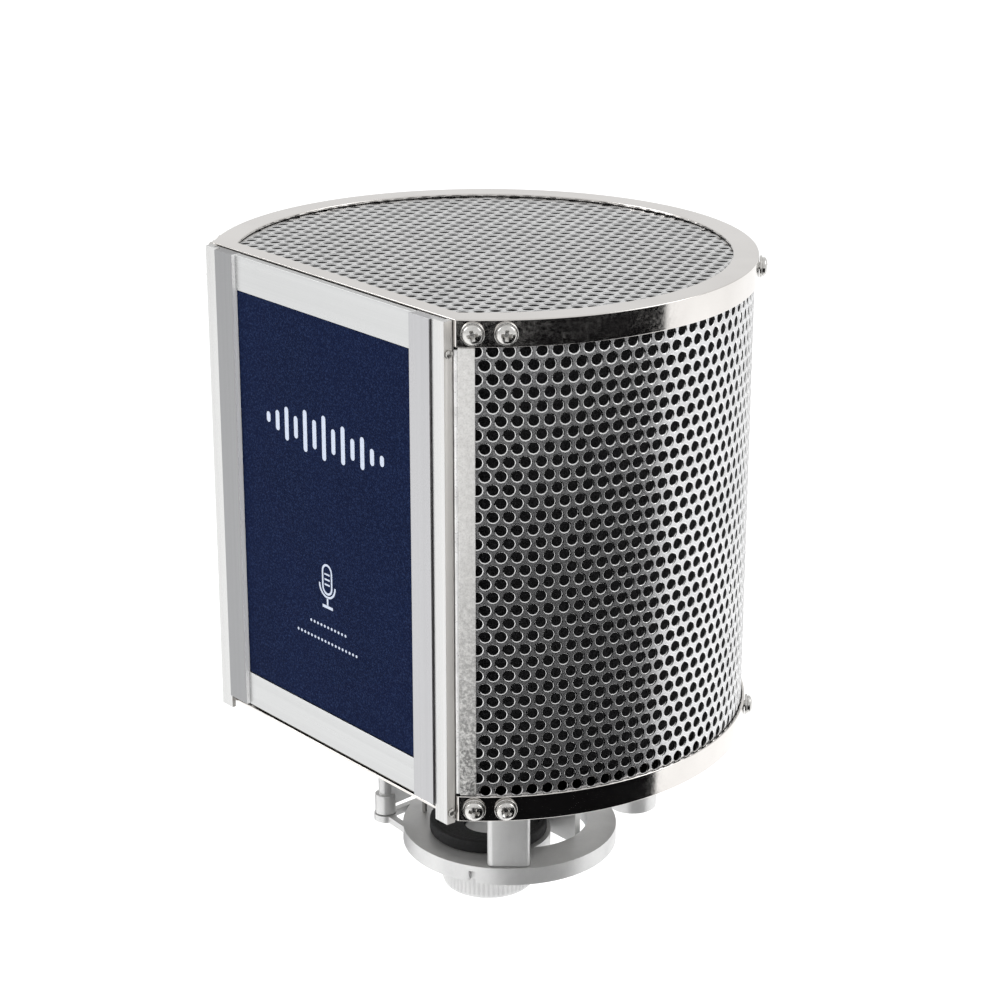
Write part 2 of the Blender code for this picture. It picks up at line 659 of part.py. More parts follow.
def build_base(mats, parent):
    """Stand post with its threaded insert, the load bar and the base screws."""
    place = Matrix.Translation((0.0, POST_Y, 0.0))
    socket_top = POST_SOCKET_DEPTH - POST_DROP
    post = bmesh.new()
    add_turned(post, [(POST_RADIUS, -POST_DROP), (POST_RADIUS, POST_TOP_Z)], place, 32)
    post = add_object("stand_post", post, mats["casting"], parent)
    socket = circle_points(POST_SOCKET_RADIUS, (0.0, POST_Y), 24)
    cut(post, prism(socket, -2 * POST_DROP, socket_top))
    cut(post, stand_screw_hole(POST_TOP_Z - BASE_SCREW_LENGTH, RIM_SKIRT))
    smooth(post)
    insert = bmesh.new()
    low = -POST_DROP + GAP
    add_tube(insert, INSERT_BORE_RADIUS, POST_SOCKET_RADIUS - GAP, low, low + INSERT_LENGTH, place, 24)
    smooth(add_object("stand_insert", insert, mats["steel"], parent))
    outline = box_outline(-BAR_WIDTH / 2, BAR_WIDTH / 2, BAR_FRONT_Y, POST_Y + POST_RADIUS)
    bar = add_object("base_bar", prism(outline, BAR_Z, BAR_Z + BAR_THICKNESS), mats["steel"], parent)
    cut(bar, stand_screw_hole(-RIM_SKIRT, RIM_SKIRT))
    cut(bar, upright_holes(-RIM_SKIRT, RIM_SKIRT))
    bar_top = BAR_Z + BAR_THICKNESS + GAP
    screw = bmesh.new()
    sizes = (BASE_SCREW_RADIUS, BASE_HEAD_RADIUS, BASE_HEAD_HEIGHT)
    add_screw(screw, (0.0, POST_Y), bar_top, sizes, BASE_SCREW_LENGTH)
    smooth(add_object("stand_post_screw", screw, mats["steel"], parent))
    for label, spot in bracket_screw_spots().items():
        seat = bar_top if label == "back" else PLATE_UPPER_FACE + GAP
        small = bmesh.new()
        add_screw(small, spot, seat, BRACKET_SCREW, BRACKET_SCREW_LENGTH)
        smooth(add_object("bracket_screw_" + label, small, mats["steel"], parent))


def cradle_point(offset, angle):
    """A plan position given from the cradle's centre."""
    return (offset * math.cos(angle), CRADLE_Y + offset * math.sin(angle))


def bar_between(start, end, width):
    """The outline of a straight bar from one plan point to another."""
    way = (Vector(end) - Vector(start)).normalized() * width / 2
    across = Vector((-way.y, way.x))
    corners = (Vector(start) - across, Vector(end) - across, Vector(end) + across, Vector(start) + across)
    return [tuple(corner) for corner in corners]


def build_cradle_ring(mats, parent):
    """The cradle's round plate with its open ear, rear window, bore and notch."""
    centre = (0.0, CRADLE_Y)
    low, high = CRADLE_BOTTOM_Z, CRADLE_TOP_Z
    ring = add_object("cradle_ring", prism(circle_points(CRADLE_RADIUS, centre, 72), low, high),
                      mats["casting"], parent)
    boss = (SIDE_POST_X, SIDE_POST_Y)
    ear_low = high - EAR_THICKNESS
    join(ring, prism(circle_points(EAR_RADIUS, boss, 24), ear_low, high))
    for angle in EAR_LEG_ANGLES:
        foot = cradle_point(CRADLE_RADIUS - EAR_LEG_WIDTH, angle)
        join(ring, prism(bar_between(boss, foot, EAR_LEG_WIDTH), ear_low, high))
    cut(ring, prism(window_outline(), low - CUT_MARGIN, high + CUT_MARGIN))
    cut(ring, prism(circle_points(MIC_BORE_RADIUS, (0.0, MIC_Y), 24), low - CUT_MARGIN, high + CUT_MARGIN))
    depth, width, height = NOTCH_SIZE
    notch = bmesh.new()
    place = Matrix.Translation((*cradle_point(CRADLE_RADIUS, NOTCH_ANGLE), low))
    place = place @ Matrix.Rotation(NOTCH_ANGLE, 4, "Z")
    add_prism(notch, box_outline(-depth, CUT_MARGIN, -width / 2, width / 2), -CUT_MARGIN, height, place)
    cut(ring, notch)
    holes = bmesh.new()
    for spot in cradle_screw_spots().values():
        outline = circle_points(BRACKET_SCREW_RADIUS + GAP, spot, 12)
        add_prism(holes, outline, low - CUT_MARGIN, high + CUT_MARGIN)
    cut(ring, holes)
    return smooth(ring)


def window_outline():
    """The crescent between the cradle's round opening and its hub."""
    reach = WINDOW_Y - MIC_Y
    hub_r = HUB_RADIUS
    # Distance behind the hub's centre at which the two circles cross.
    cross = (reach ** 2 + hub_r ** 2 - WINDOW_RADIUS ** 2) / (2 * reach)
    hub_angle = math.asin(cross / hub_r)
    window_angle = math.asin((cross - reach) / WINDOW_RADIUS)
    outer = arc_points(WINDOW_RADIUS, window_angle, math.pi - window_angle, (0.0, WINDOW_Y))
    inner = arc_points(hub_r, math.pi - hub_angle, hub_angle, (0.0, MIC_Y))
    return outer + inner[1:-1]


def cradle_screw_spots():
    """Plan positions of the screws from the cradle ring into its uprights."""
    return {
        "back": (0.0, back_foot_screw_y()),
        "wide": cradle_point(WIDE_POST_OFFSET, WIDE_POST_ANGLE),
        "side": (SIDE_POST_X, SIDE_POST_Y),
    }


def back_foot_screw_y():
    """Middle of the plate behind the cradle's window."""
    return (WINDOW_Y + WINDOW_RADIUS + CRADLE_Y + CRADLE_RADIUS) / 2


def build_cradle_screws(mats, parent):
    """The screws that hold the cradle ring to its uprights from below."""
    for label, spot in cradle_screw_spots().items():
        thickness = EAR_THICKNESS if label == "side" else CRADLE_THICKNESS
        seat = CRADLE_TOP_Z - thickness - GAP
        bm = bmesh.new()
        add_screw(bm, spot, seat, BRACKET_SCREW, thickness + CRADLE_SCREW_GRIP, downwards=False)
        smooth(add_object("cradle_screw_" + label, bm, mats["steel"], parent))


def cradle_screw_holes():
    """Cutters for the cradle screws in the lower ends of the uprights."""
    bm = bmesh.new()
    top = CRADLE_TOP_Z + CRADLE_SCREW_GRIP + GAP
    for spot in cradle_screw_spots().values():
        add_prism(bm, circle_points(BRACKET_SCREW_RADIUS + GAP, spot, 12), CRADLE_BOTTOM_Z, top)
    return bm


def build_mic_seat(mats, parent):
    """The rubber ring and the pad that the microphone stands on."""
    place = Matrix.Translation((0.0, MIC_Y, CRADLE_TOP_Z + GAP))
    ring = bmesh.new()
    inner = SEAT_OUTER_RADIUS - SEAT_WALL
    add_tube(ring, inner, SEAT_OUTER_RADIUS, 0.0, SEAT_HEIGHT, place, 48)
    smooth(add_object("rubber_seat_ring", ring, mats["rubber"], parent))
    pad = bmesh.new()
    add_tube(pad, MIC_BORE_RADIUS, inner - GAP, 0.0, PAD_HEIGHT, place, 32)
    smooth(add_object("rubber_pad", pad, mats["rubber"], parent))


def build_lock_nut(mats, parent):
    """The knurled nut under the cradle, on its own turning axis."""
    axis = bpy.data.objects.new("lock_nut_axis", None)
    axis.location = (0.0, MIC_Y, CRADLE_BOTTOM_Z - GAP)
    axis.parent = parent
    bpy.context.scene.collection.objects.link(axis)
    outline = []
    for i in range(2 * NUT_KNURL_TEETH):
        radius = NUT_KNURL_RADIUS - (i % 2) * NUT_KNURL_DEPTH
        angle = math.tau * i / (2 * NUT_KNURL_TEETH)
        outline.append((radius * math.cos(angle), radius * math.sin(angle)))
    nut = add_object("lock_nut", prism(outline, -NUT_KNURL_HEIGHT, 0.0), mats["plastic"], axis)
    bore = circle_points(MIC_BORE_RADIUS, count=24)
    return cut(nut, prism(bore, -2 * NUT_KNURL_HEIGHT, NUT_KNURL_HEIGHT))


def rounded_box_outline(half_x, half_y, fillet):
    """A rectangle with round corners about its centre."""
    points = []
    corners = ((1, 1, 0.0), (-1, 1, 0.5), (-1, -1, 1.0), (1, -1, 1.5))
    for sign_x, sign_y, turns in corners:
        centre = (sign_x * (half_x - fillet), sign_y * (half_y - fillet))
        start = turns * math.pi
        points += arc_points(fillet, start, start + math.pi / 2, centre, math.pi / 8)
    return points


def build_uprights(mats, parent):
    """The three uprights between the housing and the cradle, and the guide pin."""
    low = CRADLE_TOP_Z + GAP
    wide_place = Matrix.Translation((*cradle_point(WIDE_POST_OFFSET, WIDE_POST_ANGLE), 0.0))
    wide_place = wide_place @ Matrix.Rotation(WIDE_POST_ANGLE, 4, "Z")
    bm = bmesh.new()
    half_x, half_y = WIDE_POST_SIZE[0] / 2, WIDE_POST_SIZE[1] / 2
    add_prism(bm, rounded_box_outline(half_x, half_y, WIDE_POST_FILLET), low, POST_TOP_Z, wide_place)
    wide = add_object("cradle_front_post", bm, mats["casting"], parent)

    y_front = BACK_PLATE_Y - BACK_PLATE_THICKNESS / 2
    y_back = BACK_PLATE_Y + BACK_PLATE_THICKNESS / 2
    plate = box_outline(-BACK_PLATE_HALF, BACK_PLATE_HALF, y_front, y_back)
    bracket = prism(plate, CRADLE_BOTTOM_Z, POST_TOP_Z)
    bracket = add_object("cradle_back_bracket", bracket, mats["casting"], parent)
    foot = box_outline(-BACK_FOOT_HALF, BACK_FOOT_HALF, BACK_PLATE_Y, back_foot_screw_y() + BACK_FOOT_MARGIN)
    join(bracket, prism(foot, low, low + BACK_PLATE_THICKNESS))
    shelf_back = BACK_PLATE_Y + 2 * BRACKET_SCREW_BACK
    shelf = box_outline(-BACK_FOOT_HALF, BACK_FOOT_HALF, BACK_PLATE_Y, shelf_back)
    join(bracket, prism(shelf, POST_TOP_Z - BACK_PLATE_THICKNESS, POST_TOP_Z))

    side_place = Matrix.Translation((SIDE_POST_X, SIDE_POST_Y, 0.0))
    profile = [
        (SIDE_BOSS_RADIUS, low),
        (SIDE_BOSS_RADIUS, low + SIDE_BOSS_HEIGHT),
        (SIDE_POST_RADIUS, low + SIDE_BOSS_HEIGHT),
        (SIDE_POST_RADIUS, POST_TOP_Z),
    ]
    bm = bmesh.new()
    add_turned(bm, profile, side_place, 24)
    side = add_object("cradle_side_post", bm, mats["casting"], parent)
    join(side, gusset())

    for post in (wide, bracket, side):
        cut(post, upright_holes(POST_TOP_Z - BRACKET_SCREW_LENGTH, RIM_SKIRT))
        cut(post, cradle_screw_holes())
        smooth(post)
    pin = bmesh.new()
    pin_place = Matrix.Translation((GUIDE_PIN_X, GUIDE_PIN_Y, 0.0))
    add_turned(pin, [(GUIDE_PIN_RADIUS, low), (GUIDE_PIN_RADIUS, POST_TOP_Z)], pin_place, 12)
    smooth(add_object("cradle_guide_pin", pin, mats["steel"], parent))


def gusset():
    """The upright web beside the side post, its lower edge sloping up."""
    low = CRADLE_TOP_Z + GUSSET_RISE
    end = GUSSET_LENGTH
    outline = [(0.0, low), (end, low + GUSSET_SLOPE), (end, POST_TOP_Z), (0.0, POST_TOP_Z)]
    place = Matrix.Translation((SIDE_POST_X, SIDE_POST_Y, 0.0))
    place = place @ Matrix.Rotation(GUSSET_ANGLE, 4, "Z") @ Matrix.Rotation(math.radians(90.0), 4, "X")
    bm = bmesh.new()
    add_prism(bm, outline, -GUSSET_THICKNESS / 2, GUSSET_THICKNESS / 2, place)
    return bm


def main():
    """Build the whole shield."""
    remove_everything()
    mats = make_materials()
    origin = bpy.data.objects.new("case_origin", None)
    origin.location = (0.0, -POST_Y, POST_DROP)
    bpy.context.scene.collection.objects.link(origin)
    build_rim("top_rim", True, mats, origin)
    build_rim("bottom_rim", False, mats, origin)
    build_shell(mats, origin)
    build_end_plates(mats, origin)
    build_foam(mats, origin)
    for side, label in ((1, "right"), (-1, "left")):
        build_extrusion("extrusion_" + label, side, mats, origin)
        build_edge_strip("edge_strip_" + label, side, mats, origin)
        build_side_screws(side, label, mats, origin)
    build_rim_fasteners(mats, origin)
    build_screen(mats, origin)
    build_base(mats, origin)
    build_cradle_ring(mats, origin)
    build_cradle_screws(mats, origin)
    build_uprights(mats, origin)
    build_mic_seat(mats, origin)
    build_lock_nut(mats, origin)


main()
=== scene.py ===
import json
import math

import bmesh
import bpy
import numpy as np
from mathutils import Matrix, Vector, noise

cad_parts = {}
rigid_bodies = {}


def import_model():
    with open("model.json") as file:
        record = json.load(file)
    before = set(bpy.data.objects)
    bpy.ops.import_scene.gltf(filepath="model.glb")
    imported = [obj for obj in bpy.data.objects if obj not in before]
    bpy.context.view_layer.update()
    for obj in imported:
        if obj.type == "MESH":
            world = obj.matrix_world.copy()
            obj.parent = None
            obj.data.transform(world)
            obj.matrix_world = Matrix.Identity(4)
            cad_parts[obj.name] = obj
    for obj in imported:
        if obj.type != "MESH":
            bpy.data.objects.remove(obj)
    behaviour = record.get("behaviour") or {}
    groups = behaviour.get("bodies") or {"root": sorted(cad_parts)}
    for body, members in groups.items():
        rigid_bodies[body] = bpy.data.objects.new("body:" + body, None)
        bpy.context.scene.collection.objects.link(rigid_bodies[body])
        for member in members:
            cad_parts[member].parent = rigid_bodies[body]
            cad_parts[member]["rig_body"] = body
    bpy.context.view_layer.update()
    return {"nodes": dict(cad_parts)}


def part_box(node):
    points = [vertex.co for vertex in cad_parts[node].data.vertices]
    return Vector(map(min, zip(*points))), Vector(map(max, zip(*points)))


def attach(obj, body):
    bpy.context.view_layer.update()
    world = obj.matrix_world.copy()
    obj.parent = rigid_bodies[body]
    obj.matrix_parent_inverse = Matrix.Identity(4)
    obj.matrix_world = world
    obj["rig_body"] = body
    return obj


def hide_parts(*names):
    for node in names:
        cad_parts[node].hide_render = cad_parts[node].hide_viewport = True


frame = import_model()
NODES = frame["nodes"]

MM = 0.001
WHOLE_TURN = 2 * math.pi
WHITE = (1.0, 1.0, 1.0, 1.0)

# The curved case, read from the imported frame.
RIM_LOW, RIM_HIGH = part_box("top_rim")
CASE_R = RIM_HIGH.x
CASE_Y = RIM_HIGH.y - CASE_R
CASE_FRONT = RIM_LOW.y

# Punched holes: their radius and rolled edge, and the pattern's steps and first places. Spare
# cells are laid past the outline, which cuts them off.
HOLE_R = 2.2 * MM
HOLE_EDGE_R = 2.62 * MM
HOLE_EDGE_DEPTH = 0.45 * MM
HOLE_EDGE_TILT = math.radians(34.0)
HOLE_SIDES = 12
ROW_STEP = 5.312 * MM
ROWS = 34
LAST_HOLES_Z = 85.2 * MM
FIRST_HOLE_ANGLE = math.radians(-41.01)
HOLES_IN_ROW = 82
GRILLE_PITCH = 6.08 * MM
GRILLE_FIRST_ROW = 7.2 * MM
GRILLE_MARGIN = 0.2 * MM
GRILLE_ARC_STEPS = 100
SHEET_THICKNESS = 1.0 * MM
SPARE_CELLS = 3

# How finely the cells' corners are told apart, when one lies on a line, and what counts as nought.
CORNERS_PER_METRE = 1e7
ON_LINE = 1e-12
TINY = 1e-9

# The rolled edge of the folded strips: its radius and where its centre lies.
ROLL_R = 0.8 * MM
ROLL_X = 77.1 * MM
ROLL_Y = -164.05 * MM
ROLL_SIDES = 16

# Sizes of the rims' section that the boxes don't give.
RIM_PLATE = 1.2 * MM
RIM_FLANGE = 10.3 * MM
RIM_BAND = 7.2 * MM
RIM_BEVEL = 0.42 * MM
ARC_STEPS = 150

# Edges past the sharp angles stay sharp or get a bevel. Facets within the flat one are joined, and
# so are corners in the same place. A face looks sideways when its normal does by this much.
SHARP_DEGREES = 35.0
TURNED_SHARP_DEGREES = 40.0
SCREW_SHARP_DEGREES = 32.0
FLAT_DEGREES = 0.4
SAME_PLACE = 0.001 * MM
SIDEWAYS = 0.9
DRAWN_BEVEL = 0.15 * MM

# Screws as (head radius, head height, shank radius), and the rim screws' washer and shank.
RIM_SCREW = (3.7 * MM, 2.3 * MM, 1.7 * MM)
CRADLE_SCREW = (2.6 * MM, 1.8 * MM, 1.3 * MM)
POST_SCREW = (5.5 * MM, 3.4 * MM, 3.0 * MM)
SIDE_SCREW = (1.6 * MM, 1.1 * MM, 0.9 * MM)
RIM_WASHER = (4.4 * MM, 0.9 * MM)
RIM_WASHER_GAP = 0.3 * MM
RIM_SHANK = 7.7 * MM
RIM_SCREWS = 6
SPIN_STEP = 1.3
TOP_SPIN = 0.5

# A screw's shape: shares of its own radii and heights, but lengths for its tip and washer's lip.
# The recess is in shares of the head's radius, and its foot in shares of its mouth.
SCREW_SIDES = 40
DOME_STEPS = 8
HEAD_WALL = 0.38
HEAD_FOOT = 0.12
HEAD_FOOT_R = 0.97
TIP_R = 0.8
TIP_RISE = 0.3 * MM
WASHER_LIP = 0.16 * MM
WASHER_BORE = 1.02
RECESS_REACH = 0.64
RECESS_WIDTH = 0.2
RECESS_DEPTH = 0.45
RECESS_FOOT_REACH = 0.35
RECESS_FOOT_WIDTH = 0.7

# The cloths: their mesh, how soon the frame's hold ends, and how far they are drawn in.
CLOTH_COLUMNS = 58
CLOTH_ROWS = 84
CLOTH_HOLD = 9.0
FRONT_RIPPLE = 0.05 * MM
BACK_RIPPLE = -0.08 * MM

# The print: its ink, the heights of its marks above the cloth's foot, and the marks' own sizes.
# The wave's half heights are in millimetres.
INK_RAISED = 0.07 * MM
INK_SUNK = 0.1 * MM
WAVE_Z = 116.5 * MM
WAVE_PITCH = 6.2 * MM
WAVE_BAR_R = 1.25 * MM
WAVE_HALF_HEIGHTS = (2.2, 4.2, 7.0, 4.6, 8.6, 6.0, 9.2, 5.2, 7.8, 4.4, 6.6, 3.4, 2.2)
SIGN_Z = 57.5 * MM
SIGN_LINE = 0.9 * MM
SIGN_HEAD_R = 3.4 * MM
SIGN_HEAD_HALF = 6.6 * MM
SIGN_BAR_HALF = 1.7 * MM
SIGN_BAR_R = 0.35 * MM
SIGN_BAR_STEP = 2.2 * MM
SIGN_YOKE_R = 5.6 * MM
SIGN_YOKE_DROP = 2.4 * MM
DOT_R = 0.6 * MM
DOT_PITCH = 2.3 * MM

# Foam: the size of its remeshed cells, the depth of its pits and how many lie in a metre.
FOAM_VOXEL = 2.4 * MM
FOAM_PIT = 0.5 * MM
PITS_PER_METRE = 260

# The lock nut's bore, its flutes and its plain collars, and the slope between those two.
NUT_BORE = 10.3 * MM
NUT_FLUTES = 60
STEPS_PER_FLUTE = 6
FLUTE_DEPTH = 0.55 * MM
NUT_COLLAR = 1.6 * MM
NUT_COLLAR_DROP = 0.3 * MM
NUT_CHAMFER = 0.5 * MM

# The stage: floor, lights, and cards that only the metal reflects.
WORLD_STRENGTH = 0.86
FLOOR_GLOW = 0.34
FLOOR_Z = -0.32
FLOOR_R = 40.0
LIT_POINT = (0, -0.08, 0.15)
CARD_STEPS = 40

# The camera: its place, the ways to its right and back, and its lens in millimetres.
CAMERA_PLACE = (0.774747, -0.727327, 0.516181)
CAMERA_RIGHT = (0.6420, 0.7667, 0.0)
CAMERA_BACK = (0.7239, -0.6063, 0.3290)
CAMERA_LENS = 92.55
CAMERA_REACH = 200.0


# ---------------- materials

class Finish:
    """A Principled material, and short calls that add procedural nodes to it."""

    def __init__(self, name, colour, roughness, metallic=0.0, **sockets):
        self.material = bpy.data.materials.new(name)
        self.material.use_nodes = True
        self.tree = self.material.node_tree
        self.shader = self.tree.nodes["Principled BSDF"]
        self.shader.inputs["Base Color"].default_value = (*colour, 1.0)
        self.shader.inputs["Roughness"].default_value = roughness
        self.shader.inputs["Metallic"].default_value = metallic
        for socket, value in sockets.items():
            self.shader.inputs[socket.replace("_", " ")].default_value = value
        self.place = self.tree.nodes.new("ShaderNodeTexCoord").outputs["Object"]
        self.normal = None

    def node(self, kind, inputs, **settings):
        """A node whose inputs are given by name or number, each a value or another node's socket."""
        made = self.tree.nodes.new("ShaderNode" + kind)
        for key, value in settings.items():
            setattr(made, key, value)
        for key, value in inputs.items():
            if isinstance(value, bpy.types.NodeSocket):
                self.tree.links.new(value, made.inputs[key])
            else:
                made.inputs[key].default_value = value
        return made

    def grain(self, per_metre, detail=3.0, roughness=0.55):
        """Noise from 0 to 1, as fine along every axis or with a fineness for each."""
        if isinstance(per_metre, int):
            per_metre = (per_metre,) * 3
        spread = self.node("Mapping", {"Vector": self.place, "Scale": per_metre})
        inputs = {"Vector": spread.outputs[0], "Scale": 1.0, "Detail": detail, "Roughness": roughness}
        return self.node("TexNoise", inputs).outputs["Fac"]

    def between(self, value, low, high, to_low=0.0, to_high=1.0):
        """A value's range mapped to another, held at its ends."""
        inputs = {"Value": value, "From Min": low, "From Max": high, "To Min": to_low, "To Max": to_high}
        return self.node("MapRange", inputs).outputs[0]

    def maths(self, operation, first, second=0.0):
        """A sum on two values, each a number or a socket."""
        return self.node("Math", {0: first, 1: second}, operation=operation).outputs[0]

    def mix(self, amount, first, second):
        """One colour or another, each a tuple or a socket."""
        first, second = (
            part if isinstance(part, bpy.types.NodeSocket) else (*part, 1.0) for part in (first, second)
        )
        return self.node("Mix", {0: amount, 6: first, 7: second}, data_type="RGBA").outputs[2]

    def paint(self, amount, first, second):
        """Take the base colour from a mix of two."""
        self.tree.links.new(self.mix(amount, first, second), self.shader.inputs["Base Color"])

    def dull(self, value, smoothest, roughest, low=0.3, high=0.7):
        """Take the roughness from a noise, between two limits."""
        mapped = self.between(value, low, high, smoothest, roughest)
        self.tree.links.new(mapped, self.shader.inputs["Roughness"])

    def bump(self, height, strength, depth):
        """Raise the surface by a height, on top of any bump before it."""
        inputs = {"Height": height, "Strength": strength, "Distance": depth}
        if self.normal is not None:
            inputs["Normal"] = self.normal
        self.normal = self.node("Bump", inputs).outputs[0]
        self.tree.links.new(self.normal, self.shader.inputs["Normal"])


def shade(colour, factor):
    """A colour made paler or darker."""
    return tuple(min(1.0, part * factor) for part in colour)


def polished_nickel():
    """Bright nickel plate with faint smudges and a slight wave in its face."""
    made = Finish("polished_nickel", (0.72, 0.69, 0.66), 0.1, 1.0)
    clouds = made.grain(35, 4)
    fine = made.grain(700, 2)
    made.paint(made.between(clouds, 0.35, 0.7), (0.74, 0.715, 0.69), (0.68, 0.655, 0.63))
    smudge = made.maths("MULTIPLY", clouds, fine)
    made.dull(smudge, 0.06, 0.17, 0.12, 0.4)
    made.bump(made.grain(60, 1), 0.12, 0.1 * MM)
    return made.material


def punched_steel(name, colour, roughness, metallic=1.0, grit=0.05):
    """Bright plated sheet with the fine drag marks of the press."""
    made = Finish(name, colour, roughness, metallic)
    clouds = made.grain(45, 4)
    fine = made.grain(900, 3)
    made.paint(made.between(clouds, 0.3, 0.75), shade(colour, 1.05), shade(colour, 0.9))
    made.dull(fine, roughness - 0.05, roughness + 0.06)
    made.bump(fine, grit, 0.03 * MM)
    return made.material


def anodised(name, colour, along, roughness=0.34, metallic=1.0):
    """Satin anodised aluminium with drawn grain along one axis."""
    made = Finish(name, colour, roughness, metallic)
    fineness = [2600.0, 2600.0, 2600.0]
    fineness["xyz".index(along)] = 9.0
    drawn = made.grain(tuple(fineness), 2)
    fineness["xyz".index(along)] = 3.0
    broad = made.grain(tuple(0.12 * part for part in fineness), 2)
    speckle = made.grain(3200, 2)
    streaks = made.maths("ADD", made.maths("MULTIPLY", drawn, 0.6), made.maths("MULTIPLY", broad, 0.4))
    toned = made.mix(made.between(streaks, 0.36, 0.66), shade(colour, 0.93), shade(colour, 1.06))
    made.paint(made.between(speckle, 0.62, 0.75, 0.0, 0.25), toned, shade(colour, 0.72))
    made.dull(drawn, roughness - 0.07, roughness + 0.09)
    made.bump(drawn, 0.10, 0.04 * MM)
    return made.material


def galvanised():
    """Zinc-dipped strip: a fine speckle that thickens towards the foot."""
    made = Finish("galvanised_strip", (0.88, 0.87, 0.85), 0.38, 0.5)
    grains = made.node("TexVoronoi", {"Vector": made.place, "Scale": 520.0})
    fine = made.grain(1500, 3)
    drawn = made.grain((1800, 1800, 25), 2)
    tone = made.between(grains.outputs["Distance"], 0.0, 0.9)
    paler = made.mix(tone, (0.98, 0.97, 0.95), (0.82, 0.81, 0.79))
    height = made.node("SeparateXYZ", {0: made.place}).outputs[2]
    foot = made.between(height, 0.085, 0.19, 1.0, 0.0)
    coarse = made.grain(700, 3, 0.75)
    speckled = made.mix(made.between(coarse, 0.36, 0.6), paler, (0.10, 0.10, 0.10))
    toned = made.mix(made.maths("MULTIPLY", foot, 0.95), paler, speckled)
    made.paint(made.between(fine, 0.45, 0.75, 0.0, 0.4), toned, (0.42, 0.41, 0.39))
    made.dull(fine, 0.30, 0.5)
    made.bump(drawn, 0.12, 0.05 * MM)
    made.bump(fine, 0.16, 0.06 * MM)
    return made.material


def plated_steel(name, colour, roughness, metallic=1.0):
    """Zinc or chrome plate on turned and pressed steel."""
    made = Finish(name, colour, roughness, metallic)
    clouds = made.grain(160, 4)
    fine = made.grain(1400, 2)
    made.paint(made.between(clouds, 0.35, 0.7), shade(colour, 1.08), shade(colour, 0.8))
    made.dull(fine, roughness - 0.05, roughness + 0.09)
    made.bump(fine, 0.08, 0.04 * MM)
    return made.material


def painted_casting():
    """Silver paint with fine flakes over an orange-peel surface."""
    made = Finish("silver_casting", (0.63, 0.63, 0.63), 0.4, 0.6)
    orange_peel = made.grain(900, 2)
    flakes = made.grain(4200, 1)
    clouds = made.grain(60, 3)
    toned = made.mix(made.between(clouds, 0.35, 0.7), (0.67, 0.67, 0.665), (0.58, 0.58, 0.58))
    made.paint(made.between(flakes, 0.6, 0.75, 0.0, 0.5), toned, (0.80, 0.80, 0.80))
    made.dull(orange_peel, 0.32, 0.46)
    made.bump(orange_peel, 0.14, 0.06 * MM)
    return made.material


def moulded_plastic():
    """Grey plastic with a mould's fine texture."""
    made = Finish("grey_plastic", (0.66, 0.66, 0.66), 0.48, 0.0)
    texture = made.grain(1600, 2)
    clouds = made.grain(90, 3)
    made.paint(made.between(clouds, 0.3, 0.7), (0.70, 0.70, 0.695), (0.60, 0.60, 0.60))
    made.dull(texture, 0.42, 0.56)
    made.bump(texture, 0.18, 0.05 * MM)
    return made.material


def black_rubber():
    """Matt rubber with a little dust."""
    made = Finish("black_rubber", (0.012, 0.012, 0.013), 0.6, Specular_IOR_Level=0.3)
    texture = made.grain(1300, 3)
    dust = made.grain(260, 4)
    dusty = made.between(dust, 0.55, 0.8, 0.0, 0.5)
    made.paint(dusty, (0.010, 0.010, 0.011), (0.035, 0.035, 0.036))
    made.dull(texture, 0.48, 0.72)
    made.bump(texture, 0.25, 0.08 * MM)
    return made.material


def open_foam():
    """Black foam: a web of cells, with painted shade in the cells' hollows and the web painted paler."""
    made = Finish("black_foam", (0.008, 0.008, 0.009), 0.95)
    cells = made.node("TexVoronoi", {"Vector": made.place, "Scale": 620.0}, feature="DISTANCE_TO_EDGE")
    web = made.between(cells.outputs["Distance"], 0.02, 0.20, 1.0, 0.0)
    crumbs = made.grain(900, 3)
    # Painted light on the web and painted shade in the cells' hollows, broken up by noise.
    lit = made.maths("MULTIPLY", web, made.between(crumbs, 0.35, 0.7))
    made.paint(lit, (0.004, 0.004, 0.005), (0.026, 0.026, 0.029))
    made.dull(crumbs, 0.85, 1.0)
    made.bump(web, 0.7, 0.5 * MM)
    made.bump(crumbs, 0.4, 0.3 * MM)
    return made.material


def woven(name, dark, light, fleck, threads_per_metre):
    """Plain woven cloth: crossing threads, slubs and pale flecks."""
    made = Finish(name, dark, 0.88, 0.0, Sheen_Weight=0.015, Sheen_Roughness=0.5, Specular_IOR_Level=0.06)
    turns = threads_per_metre * WHOLE_TURN
    split = made.node("SeparateXYZ", {0: made.place})
    warp = made.maths("SINE", made.maths("MULTIPLY", split.outputs[0], turns))
    weft = made.maths("SINE", made.maths("MULTIPLY", split.outputs[2], turns))
    weave = made.maths("MULTIPLY", warp, weft)
    slub = made.grain((900, 900, 1500), 3)
    fine = made.grain(1300, 3, 0.7)
    clouds = made.grain(30, 3)
    body = made.mix(made.between(weave, -0.8, 0.8), dark, light)
    body = made.mix(made.between(slub, 0.35, 0.7, 0.0, 0.55), body, shade(light, 1.35))
    body = made.mix(made.between(clouds, 0.35, 0.7, 0.0, 0.25), body, shade(dark, 0.7))
    made.paint(made.between(fine, 0.48, 0.72, 0.0, 0.8), body, fleck)
    made.dull(slub, 0.8, 0.95)
    made.bump(weave, 0.45, 0.10 * MM)
    made.bump(slub, 0.35, 0.12 * MM)
    return made.material


def printed_ink():
    """Pale ink, thinner where it is worn."""
    made = Finish("pale_ink", (0.54, 0.60, 0.72), 0.6)
    worn = made.grain(1800, 2)
    made.paint(made.between(worn, 0.5, 0.75, 0.0, 0.6), (0.56, 0.62, 0.74), (0.33, 0.39, 0.52))
    made.dull(worn, 0.5, 0.72)
    made.bump(worn, 0.3, 0.04 * MM)
    return made.material


